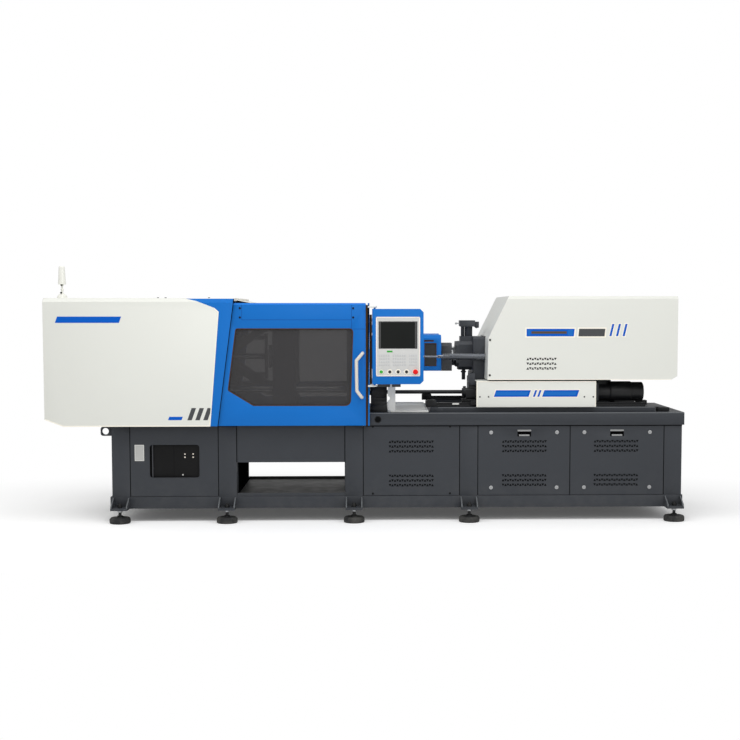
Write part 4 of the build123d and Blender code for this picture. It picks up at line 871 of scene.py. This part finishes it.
@dataclass
class ClampUnit:
    """Platens, tie bars and toggle behind the covers."""

    castings: tuple[str, ...] = (
        "fixed_platen", "rear_platen", "moving_platen", "crosshead_guides", "rear_link_upper",
        "rear_link_lower", "front_link_upper", "front_link_lower", "crosshead_link_upper",
        "crosshead_link_lower", "crosshead")
    front_pins: tuple[Point, ...] = ((-0.807, 1.530), (-0.807, 1.020))
    pin_radius: float = 0.020
    pin_y: Span = (0.1055, 0.1985)
    pin_gap: float = 0.0004

    def build(self) -> None:
        """Dress every piece of the clamp."""
        for node in self.castings:
            skin(node, CASTING)
        self._ease_pins()
        skin("tie_bars", TIE_BAR, 0.002)
        skin("tie_bar_nuts", STEEL, 0.002)
        skin("adjusting_nuts", DARK_CASTING, 0.002)
        skin("ejector_plate", STEEL, 0.001)
        skin("clamp_ball_screw", CHROME, 0.001)
        skin("clamp_motor", MOTOR)

    def _ease_pins(self) -> None:
        """Make the front links' pins thinner, so that facets of pins and links don't cross."""
        reach = self.pin_radius + 0.0001
        for vert in bpy.data.objects["moving_platen_skin"].data.vertices:
            for x, z in self.front_pins:
                arm = Vector((vert.co.x - x, 0.0, vert.co.z - z))
                if arm.length < reach and inside(abs(vert.co.y), self.pin_y):
                    vert.co -= arm.normalized() * self.pin_gap


@dataclass
class Covers:
    """White clamp cover, blue band, roof, end guard and signal lamp."""

    face: float = -0.650
    outline: tuple[Corner, ...] = (
        (-2.485, 0.808, 0.0), (-2.340, 0.754, 0.0), (-1.216, 0.754, 0.0), (-1.143, 1.637, 0.0),
        (-1.176, 1.666, 0.0), (-1.315, 1.719, 0.0), (-1.416, 1.742, 0.0), (-2.485, 1.742, 0.0))
    hem_foot: float = 0.79
    hem_left: float = -1.2
    roof: float = 1.742
    roof_y: Span = (-0.618, 0.618)
    roof_screws: tuple[float, ...] = (-1.612, -1.554, -1.221)
    lamp_dots: tuple[Corner, ...] = ((-2.365, -0.535, 1.783), (-2.365, -0.5145, 1.844))
    # Limits of the places that get another finish.
    guard_side: float = 0.0125
    guard_front: float = -0.6
    panel_z: Span = (1.075, 1.664)
    sheet_top: float = 1.6985

    def build(self) -> None:
        """Dress the covers and the lamp, and add their small pieces."""
        skin("clamp_cover", WHITE, 0.0012)
        skin("clamp_cover_band", BLUE, 0.0012)
        skin("end_guard", BLUE, 0.0012, [
            (WHITE, lambda at, out: at.x > self.guard_side and at.y < self.guard_front
             and not inside(at.z, self.panel_z))])
        # The flap's front face is painted near-black: painted shade under the white roof flap.
        skin("top_guard", BLUE, 0.001, [
            (WHITE, lambda at, out: at.z > self.sheet_top),
            (SHADOW, lambda at, out: at.z > self.sheet_top and to_front(out, 0.9))])
        skin("gate_rails", BLACK_STEEL, 0.001)
        skin("signal_lamp", LAMP, 0.0008)
        self._hem()
        self._seals()
        self._marks()
        self._dots()

    def _hem(self) -> None:
        """Folded hem of the white cover in a paler painted highlight, and the strip along the blue
        band's roof edge.
        """
        form = Form()
        form.rim(self.outline, self.face, 0.008, 0.0012, HEM_AND_PAINTED_HIGHLIGHT,
                 lambda at: at.z < self.hem_foot or at.x > self.hem_left)
        form.box((-1.0260, -1.0225), self.roof_y, (1.7195, 1.7424), HEM_AND_PAINTED_HIGHLIGHT)
        form.piece("cover_hem_and_painted_highlight", "machine")

    def _seals(self) -> None:
        """Painted shade along the blue band's edge, and brown seals beside the gate and the panel.
        """
        form = Form()
        # The dark strip on the band's edge is painted shade in the step down to the gate.
        slant = ((-1.161, 0.757), (-1.157, 0.757), (-1.0265, 1.7375), (-1.0305, 1.7375))
        form.plate(slant, (-0.6455, -0.6265), SHADOW)
        form.box((-0.0165, -0.0005), (-0.618, -0.600), (0.757, 1.690), SEAL)
        form.box((0.0125, 0.031), (-0.603, -0.560), (1.077, 1.615), SEAL)
        form.piece("cover_seals_and_painted_shade", "machine")

    def _marks(self) -> None:
        """Plain bars on the white cover."""
        form = Form()
        form.bar((-2.392, -1.905), (1.552, 1.600), self.face, STRIPE, (0.018, 0.018))
        form.bar((-1.540, -1.436), (0.804, 0.830), self.face, STRIPE, (0.010, 0.010))
        for start in (-1.392, -1.331, -1.270):
            form.bar((start, start + 0.034), (0.803, 0.897), self.face, GREY_FILM, (0.034, 0.034))
        form.piece("cover_marks", "machine")

    def _dots(self) -> None:
        """Roof screws and the lamp's dark dots."""
        form = Form()
        for x in self.roof_screws:
            form.disc(Axis.UP, (x, -0.600, self.roof), (SCREW_RADIUS, SCREW_RADIUS), 0.005,
                      SCREW_BLACK, edge=0.001)
        for place in self.lamp_dots:
            form.disc(Axis.FRONT, place, (SCREW_RADIUS, 0.0075), 0.004, SCREW_BLACK, edge=0.001)
        form.piece("roof_screws", "machine")


@dataclass
class Gates:
    """Sliding gates with their windows, gaskets, header screws and handle."""

    front: float = -0.625
    pane: float = -0.613
    window: tuple[Corner, ...] = (
        (-1.020, 1.509, 0.018), (-0.112, 1.509, 0.030), (-0.133, 0.909, 0.045),
        (-0.886, 0.910, 0.018), (-1.083, 1.030, 0.018))
    header: Area = ((-0.970, -0.126), (1.575, 1.689))
    header_seam: float = 0.0015
    screws: tuple[Point, ...] = ((-0.984, 1.664), (-0.984, 1.593), (-0.113, 1.664), (-0.113, 1.593))

    def build(self) -> None:
        """Dress both gates and add the front gate's small pieces."""
        skin("front_gate", BLUE)
        skin("rear_gate", BLUE)
        dress("front_gate_window", PANE)
        dress("rear_gate_window", PANE)
        skin("gate_handle", HANDLE, 0.0)
        self._header()
        form = Form()
        form.rim(self.window, self.pane, 0.0065, 0.0114, SEAL)
        form.piece("window_gasket", "front_gate")

    def _header(self) -> None:
        """Seams and screws of the gate's header panel, and a painted highlight along the gate's
        top.
        """
        form = Form()
        (x0, x1), (z0, z1) = self.header
        y = raised(self.front, 0.0006, 0.0004)
        for x, z in ((around(x0, self.header_seam), (z0, z1)),
                     (around(x1, self.header_seam), (1.504, z1)),
                     ((x0, x1), around(z0, self.header_seam)), ((x1, -0.020), (1.5025, 1.5055))):
            form.box(x, y, z, BLUE_SEAM)
        # This paler blue band along the gate's top is a painted highlight.
        form.box((-1.050, -0.018), y, (z1, 1.7035), BLUE_PAINTED_HIGHLIGHT)
        form.screws(self.screws, self.front)
        form.piece("gate_header", "front_gate")


@dataclass
class OperatorPanel:
    """Operator panel with its screen, membrane keys and push buttons."""

    face: float = -0.694
    foot: float = 1.0795
    screen_x: Span = (0.099, 0.361)
    screen_z: Span = (1.356, 1.553)
    surround: Area = ((0.082, 0.380), (1.354, 1.563))
    frame_bars: tuple[Area, ...] = (
        ((0.066, 0.397), (1.590, 1.598)), ((0.066, 0.397), (1.142, 1.149)),
        ((0.062, 0.070), (1.150, 1.589)), ((0.393, 0.401), (1.150, 1.589)))
    light_bar: Area = ((0.146, 0.189), (1.326, 1.339))
    key_columns: tuple[tuple[float, float, int], ...] = (
        (0.082, 0.169, 5), (0.189, 0.295, 6), (0.315, 0.380, 4))
    key_rows: tuple[float, ...] = (1.302, 1.278, 1.254, 1.230)
    key_half: float = 0.008
    key_gap: float = 0.0015
    button_x: tuple[float, ...] = (0.102, 0.168, 0.232, 0.297, 0.365)
    button_z: float = 1.176
    rings: tuple[float, ...] = (0.017, 0.020, 0.020, 0.020, 0.023)

    def build(self) -> None:
        """Dress the panel and add its screen, keys and rings."""
        skin("panel_housing", BLUE, 0.003, [(BLACK, lambda at, out: at.z < self.foot)])
        skin("panel_bezel", BEZEL, 0.001)
        skin("start_button", GREEN, 0.001)
        for number in (1, 2, 3):
            skin(f"function_button_{number}", BLACK, 0.001)
        skin("emergency_stop", RED, 0.002)
        self._screen()
        self._keys()

    def _screen(self) -> None:
        """Screen sunk in the bezel, with a dark surround and grey side strips."""
        form = Form()
        (x0, x1), (z0, z1) = self.screen_x, self.screen_z
        (left, right), (low, high) = self.surround
        form.box(self.screen_x, raised(self.face, -0.0008, 0.002), self.screen_z, SCREEN)
        for x, z in (((left, right), (z1, high)), ((left, right), (low, z0)),
                     ((left, x0), (z0, z1)), ((x1, right), (z0, z1))):
            form.box(x, raised(self.face, 0.0008), z, BLACK)
        for x in ((left + 0.005, x0 - 0.0005), (x1 + 0.0005, right - 0.005)):
            form.box(x, raised(self.face, 0.0012, -0.0006), grown((low, high), -0.004), SCREEN_EDGE)
        form.piece("screen", "operator_panel")

    def _keys(self) -> None:
        """Cream frame, green bar, rows of membrane keys and a white ring round each button."""
        form = Form()
        for x, z in self.frame_bars:
            form.box(x, raised(self.face, 0.0008), z, CREAM, 0.0003)
        form.box(self.light_bar[0], raised(self.face, 0.001), self.light_bar[1], GREEN, 0.0004)
        for start, end, count in self.key_columns:
            pitch = (end - start) / count
            for z in self.key_rows:
                for number in range(count):
                    x = start + number * pitch
                    form.box(grown((x, x + pitch), -self.key_gap), raised(self.face, 0.001),
                             around(z, self.key_half), KEY, 0.0005)
        for x, radius in zip(self.button_x, self.rings):
            place = (x, self.face, self.button_z)
            form.disc(Axis.FRONT, place, (radius + 0.0005, radius), 0.001, HEM_AND_PAINTED_HIGHLIGHT, 32)
        form.piece("membrane_keys", "operator_panel")


@dataclass
class InjectionUnit:
    """Carriage, injection cover, barrel and drives."""

    hood_face: float = -0.530
    base_face: float = -0.520
    stripes: tuple[Span, ...] = ((0.986, 1.260), (1.294, 1.310), (1.328, 1.344), (1.366, 1.642))
    long_stripe: float = 0.1
    slants: tuple[float, ...] = (1.890, 1.942, 1.994)
    guard_window: Area = ((0.455, 0.552), (1.200, 1.385))
    guard_y: Span = (-0.1958, -0.1945)
    hood_screws: tuple[Point, ...] = ((0.954, 1.417), (0.953, 1.141))
    base_screws: tuple[Point, ...] = (
        (0.877, 0.971), (0.945, 0.971), (1.700, 0.970), (1.770, 0.970))
    # Limits of the places that get another finish.
    vent_x: Span = (1.23, 1.49)
    vent_y: Span = (-0.5295, -0.5265)
    vent_z: Span = (1.17, 1.29)
    sled_left: float = 0.874
    sled_front: float = -0.2
    sled_top: float = 1.06
    rail_top: float = 0.8885
    end_stop_left: float = 2.29
    heaters_x: Span = (0.07, 0.57)
    neck_x: Span = (0.59, 0.6825)
    ring_x: Span = (0.682, 0.716)
    flange_right: float = 1.86
    rods_foot: float = 1.1

    def build(self) -> None:
        """Dress the injection unit and add its stripes, bars and screws."""
        # The hood's vent walls are painted near-black: painted shade.
        skin("injection_cover", WHITE, 0.0, [(SHADOW, self._painted_shade_vent_wall)])
        skin("carriage_covers", WHITE, 0.0012)
        skin("carriage_base", DARK_CASTING, paint=[
            (BLACK_CASTING, lambda at, out: at.x < self.sled_left and at.y < self.sled_front
             and at.z < self.sled_top)])
        skin("carriage_rails", BED_GREY, 0.001, [
            (BLACK_STEEL, lambda at, out: at.z > self.rail_top),
            (BED_BLACK, lambda at, out: at.x > self.end_stop_left)])
        skin("feed_housing", DARK_CASTING, 0.002)
        skin("hopper_slide", STEEL, 0.001)
        skin("barrel", CASTING, paint=[
            (CHROME, lambda at, out: inside(at.x, self.ring_x)),
            (GUARD_GREY, lambda at, out: inside(at.x, self.neck_x)),
            (HEATER, lambda at, out: inside(at.x, self.heaters_x))])
        skin("touch_cylinders", CYLINDER, 0.0008)
        skin("carriage_motor", MOTOR, paint=[
            (MOTOR_GREY, lambda at, out: at.x < self.flange_right)])
        skin("platen_rods", BLACK_STEEL, 0.001, [(ROD, lambda at, out: at.z > self.rods_foot)])
        skin("pusher_plate", CASTING)
        skin("plasticising_screw", CHROME, 0.0)
        skin("purge_guard", BLUE, 0.0008)
        skin("drip_tray", TRAY, 0.0006)
        self._stripes()
        self._bars()
        self._trim()
        self._guard_pane()
        self._deck_fittings()
        self._screws()

    def _painted_shade_vent_wall(self, at: Vector, out: Vector) -> bool:
        """Tell whether a face is a wall of one of the hood's vent holes, which is painted dark as
        painted shade.
        """
        return (edge_on(out) and inside(at.x, self.vent_x) and inside(at.y, self.vent_y)
                and inside(at.z, self.vent_z))

    def _stripes(self) -> None:
        """Plain leaning stripes on the carriage cover, the long ones with a paler core."""
        form = Form()
        y = self.base_face
        for x in self.stripes:
            form.edged_bar(x, (0.971, 1.023), y, STRIPE, CREAM, 0.007, (0.018, 0.018))
            if x[1] - x[0] > self.long_stripe:
                form.bar(grown(x, -0.012), (0.984, 1.010), y, STRIPE_CORE, (0.009, 0.009),
                         height=THIRD_FILM)
        form.piece("carriage_stripes", "carriage")

    def _bars(self) -> None:
        """Plain bars and slanted marks on the injection cover."""
        form = Form()
        y, z = self.hood_face, (1.445, 1.504)
        form.edged_bar((1.240, 1.611), z, y, STRIPE, HEM_AND_PAINTED_HIGHLIGHT, 0.010, (0.0, 0.006))
        form.edged_bar((1.647, 1.852), z, y, GREY_FILM, HEM_AND_PAINTED_HIGHLIGHT, 0.010, (0.005, 0.006))
        for x in ((1.252, 1.270), (1.562, 1.603)):
            form.bar(x, (1.453, 1.496), y, STRIPE_CORE, height=THIRD_FILM)
        form.box((1.277, 1.555), raised(y, 0.0016, -0.001), (1.465, 1.485), SLOT)
        for start in self.slants:
            form.edged_bar((start, start + 0.017), (1.446, 1.542), y, STRIPE, HEM_AND_PAINTED_HIGHLIGHT, 0.007,
                           (0.022, 0.022))
        form.piece("cover_bars", "carriage")

    def _trim(self) -> None:
        """Folded hems of the covers in a paler painted highlight, and painted shade under the hood
        and behind its vents.
        """
        form = Form()
        y = raised(self.base_face, 0.001)
        form.box((0.850, 1.792), y, (1.087, 1.094), HEM_AND_PAINTED_HIGHLIGHT)
        for x in ((0.850, 0.856), (1.787, 1.792)):
            form.box(x, y, (0.892, 1.087), HEM_AND_PAINTED_HIGHLIGHT)
        form.box((0.937, 2.384), raised(self.hood_face, 0.001), (1.1045, 1.109), HEM_AND_PAINTED_HIGHLIGHT)
        form.piece("cover_hems", "carriage")
        form = Form()
        # These near-black strips are painted shade in the gap under the hood and behind its vents.
        form.box((0.944, 1.787), (-0.5215, -0.5165), (1.0942, 1.1039), SHADOW)
        form.box((1.235, 1.483), (-0.5258, -0.5245), (1.178, 1.284), SHADOW)
        form.piece("hood_painted_shade", "carriage")

    def _guard_pane(self) -> None:
        """The purge guard's pane with its seals."""
        form = Form()
        x, z = self.guard_window
        form.box(grown(x, 0.003), self.guard_y, grown(z, 0.003), PANE_SHUT)
        form.rim(rectangle(x, z, 0.004), self.guard_y[0], 0.005, 0.0055, SEAL)
        form.box((0.449, 0.533), self.guard_y, (1.393, 1.413), SEAL)
        form.piece("guard_pane", frame["nodes"]["purge_guard"]["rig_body"])

    @staticmethod
    def _deck_fittings() -> None:
        """Painted highlight strip along the deck's edge, light plate and tray screw."""
        form = Form()
        # This strip in the paler bed paint is a painted highlight on the deck's edge.
        form.box((0.552, 2.268), (-0.4808, -0.4798), (0.881, 0.888), BED_PAINTED_HIGHLIGHT)
        form.box((0.665, 0.717), (-0.4468, -0.4448), (0.906, 0.917), TRAY)
        form.disc(Axis.UP, (0.196, -0.462, 0.852), (0.013, 0.013), 0.005, MOTOR_GREY, 20,
                  socket=0.003, edge=0.001)
        form.piece("deck_fittings", "machine")

    def _screws(self) -> None:
        """Black screws of the white covers."""
        form = Form()
        form.screws(self.hood_screws, self.hood_face, 0.0085)
        form.screws(self.base_screws, self.base_face, 0.006, 0.0025)
        form.piece("cover_screws", "carriage")


@dataclass
class Studio:
    """Camera of the photograph, soft lights, and a pale floor."""

    focal_px: float = 1348.0
    image_px: float = 740.0
    centre_px: Point = (408.4, 410.0)
    eye: Corner = (0.0, -11.05, 1.637)
    pitch: float = 0.0729
    yaw: float = 0.03
    top_power: float = 184.0
    front_power: float = 94.0
    world_light: float = 0.62
    floor_colour: float = 0.86
    floor_lift: float = 0.26

    def build(self) -> None:
        """Set up the camera, the lights, the world and the floor."""
        self._camera()
        self._lamp("top", (-0.6, -2.8, 5.9), (-0.4, -0.2, 0.8), (9.0, 4.0), self.top_power)
        self._lamp("front", (1.0, -8.0, 4.5), (0.0, 0.0, 1.0), (5.0, 3.5), self.front_power)
        self._world()
        self._floor()
        bpy.context.scene.view_settings.view_transform = "Standard"

    def _camera(self) -> None:
        """Place the camera at the photograph's angle."""
        data = bpy.data.cameras.new("camera")
        data.sensor_width = 36.0
        data.lens = self.focal_px / self.image_px * data.sensor_width
        data.shift_x = (self.image_px / 2 - self.centre_px[0]) / self.image_px
        data.shift_y = (self.centre_px[1] - self.image_px / 2) / self.image_px
        camera = bpy.data.objects.new("camera", data)
        camera.location = self.eye
        camera.rotation_euler = (pi / 2 - atan(self.pitch), 0.0, -self.yaw)
        bpy.context.scene.collection.objects.link(camera)
        bpy.context.scene.camera = camera

    @staticmethod
    def _lamp(name: str, at: Corner, aim: Corner, size: Point, power: float) -> None:
        """Add a soft area lamp.

        Args:
            name: The lamp's name.
            at: Its place.
            aim: The point that it looks at.
            size: Its width and depth.
            power: Its power in watts.
        """
        data = bpy.data.lights.new(name, "AREA")
        data.shape = "RECTANGLE"
        data.size, data.size_y = size
        data.energy = power
        lamp = bpy.data.objects.new(name, data)
        lamp.location = at
        lamp.rotation_euler = (Vector(aim) - Vector(at)).to_track_quat("-Z", "Y").to_euler()
        bpy.context.scene.collection.objects.link(lamp)

    def _world(self) -> None:
        """White surroundings, plainer in the light that they give than in what is seen of them."""
        world = bpy.data.worlds.new("studio")
        bpy.context.scene.world = world
        world.use_nodes = True
        net = Net(world.node_tree)
        net.tree.nodes.clear()
        path = net.add("ShaderNodeLightPath").outputs
        seen = net.maths("MAXIMUM", path["Is Camera Ray"], path["Is Transmission Ray"])
        light, white = (
            net.add("ShaderNodeBackground", {"Color": (1, 1, 1, 1), "Strength": strength})
            for strength in (self.world_light, 1.0))
        mix = net.add("ShaderNodeMixShader", {0: seen, 1: light.outputs[0], 2: white.outputs[0]})
        net.add("ShaderNodeOutputWorld", {"Surface": mix.outputs[0]})

    def _floor(self) -> None:
        """Pale floor that turns white away from the machine, and is left darker under it as painted
        shade.
        """
        form = bmesh.new()
        bmesh.ops.create_grid(form, x_segments=4, y_segments=4, size=60.0)
        data = bpy.data.meshes.new("floor")
        form.to_mesh(data)
        form.free()
        floor = bpy.data.objects.new("floor", data)
        bpy.context.scene.collection.objects.link(floor)
        data.materials.append(self._floor_material())

    def _floor_material(self) -> bpy.types.Material:
        """Build the floor's material.

        Returns:
            A pale grey that the camera sees brighter around the machine, unlifted under it as
            painted shade, and white far away.
        """
        material = bpy.data.materials.new("floor")
        material.use_nodes = True
        net = Net(material.node_tree)
        net.tree.nodes.clear()
        place = net.add("ShaderNodeTexCoord").outputs["Object"]
        squeeze = net.add("ShaderNodeVectorMath", {0: place, 1: (0.26, 0.42, 1.0)},
                          operation="MULTIPLY").outputs[0]
        reach = net.add("ShaderNodeVectorMath", {0: squeeze}, operation="LENGTH").outputs["Value"]
        far = net.remap(reach, 0.0, 1.0, 0.75, 1.25)
        seen = net.add("ShaderNodeLightPath").outputs["Is Camera Ray"]
        x, y, _ = net.add("ShaderNodeSeparateXYZ", {0: place}).outputs
        # Under the machine's footprint the camera's lift is left off: painted shade under the
        # machine.
        beside = net.maths("ABSOLUTE", net.maths("SUBTRACT", x, 0.235))
        across = net.remap(beside, 0.3, 1.0, 2.20, 2.34)
        deep = net.remap(net.maths("ABSOLUTE", y), 0.3, 1.0, 0.49, 0.52)
        share = net.maths("MULTIPLY", net.maths("MAXIMUM", across, deep), self.floor_lift)
        grey = (self.floor_colour, self.floor_colour, self.floor_colour, 1)
        lit = net.add("ShaderNodeBsdfDiffuse", {"Color": grey})
        lift, white = (
            net.add("ShaderNodeEmission", {"Color": (1, 1, 1, 1), "Strength": strength})
            for strength in (share, 1.0))
        near = net.add("ShaderNodeAddShader", {0: lit.outputs[0], 1: lift.outputs[0]})
        shown = net.add("ShaderNodeMixShader", {0: far, 1: near.outputs[0], 2: white.outputs[0]})
        surface = net.add("ShaderNodeMixShader", {0: seen, 1: lit.outputs[0], 2: shown.outputs[0]})
        net.add("ShaderNodeOutputMaterial", {"Surface": surface.outputs[0]})
        return material


def main() -> None:
    """Build the studio and every sub-assembly."""
    logging.basicConfig(level=logging.INFO, format="%(name)s %(message)s")
    for part in (Studio(), Bed(), ClampUnit(), Covers(), Gates(), OperatorPanel(), InjectionUnit()):
        LOG.info("building %s", type(part).__name__)
        part.build()
    bpy.context.view_layer.update()


if __name__ == "__main__":
    main()
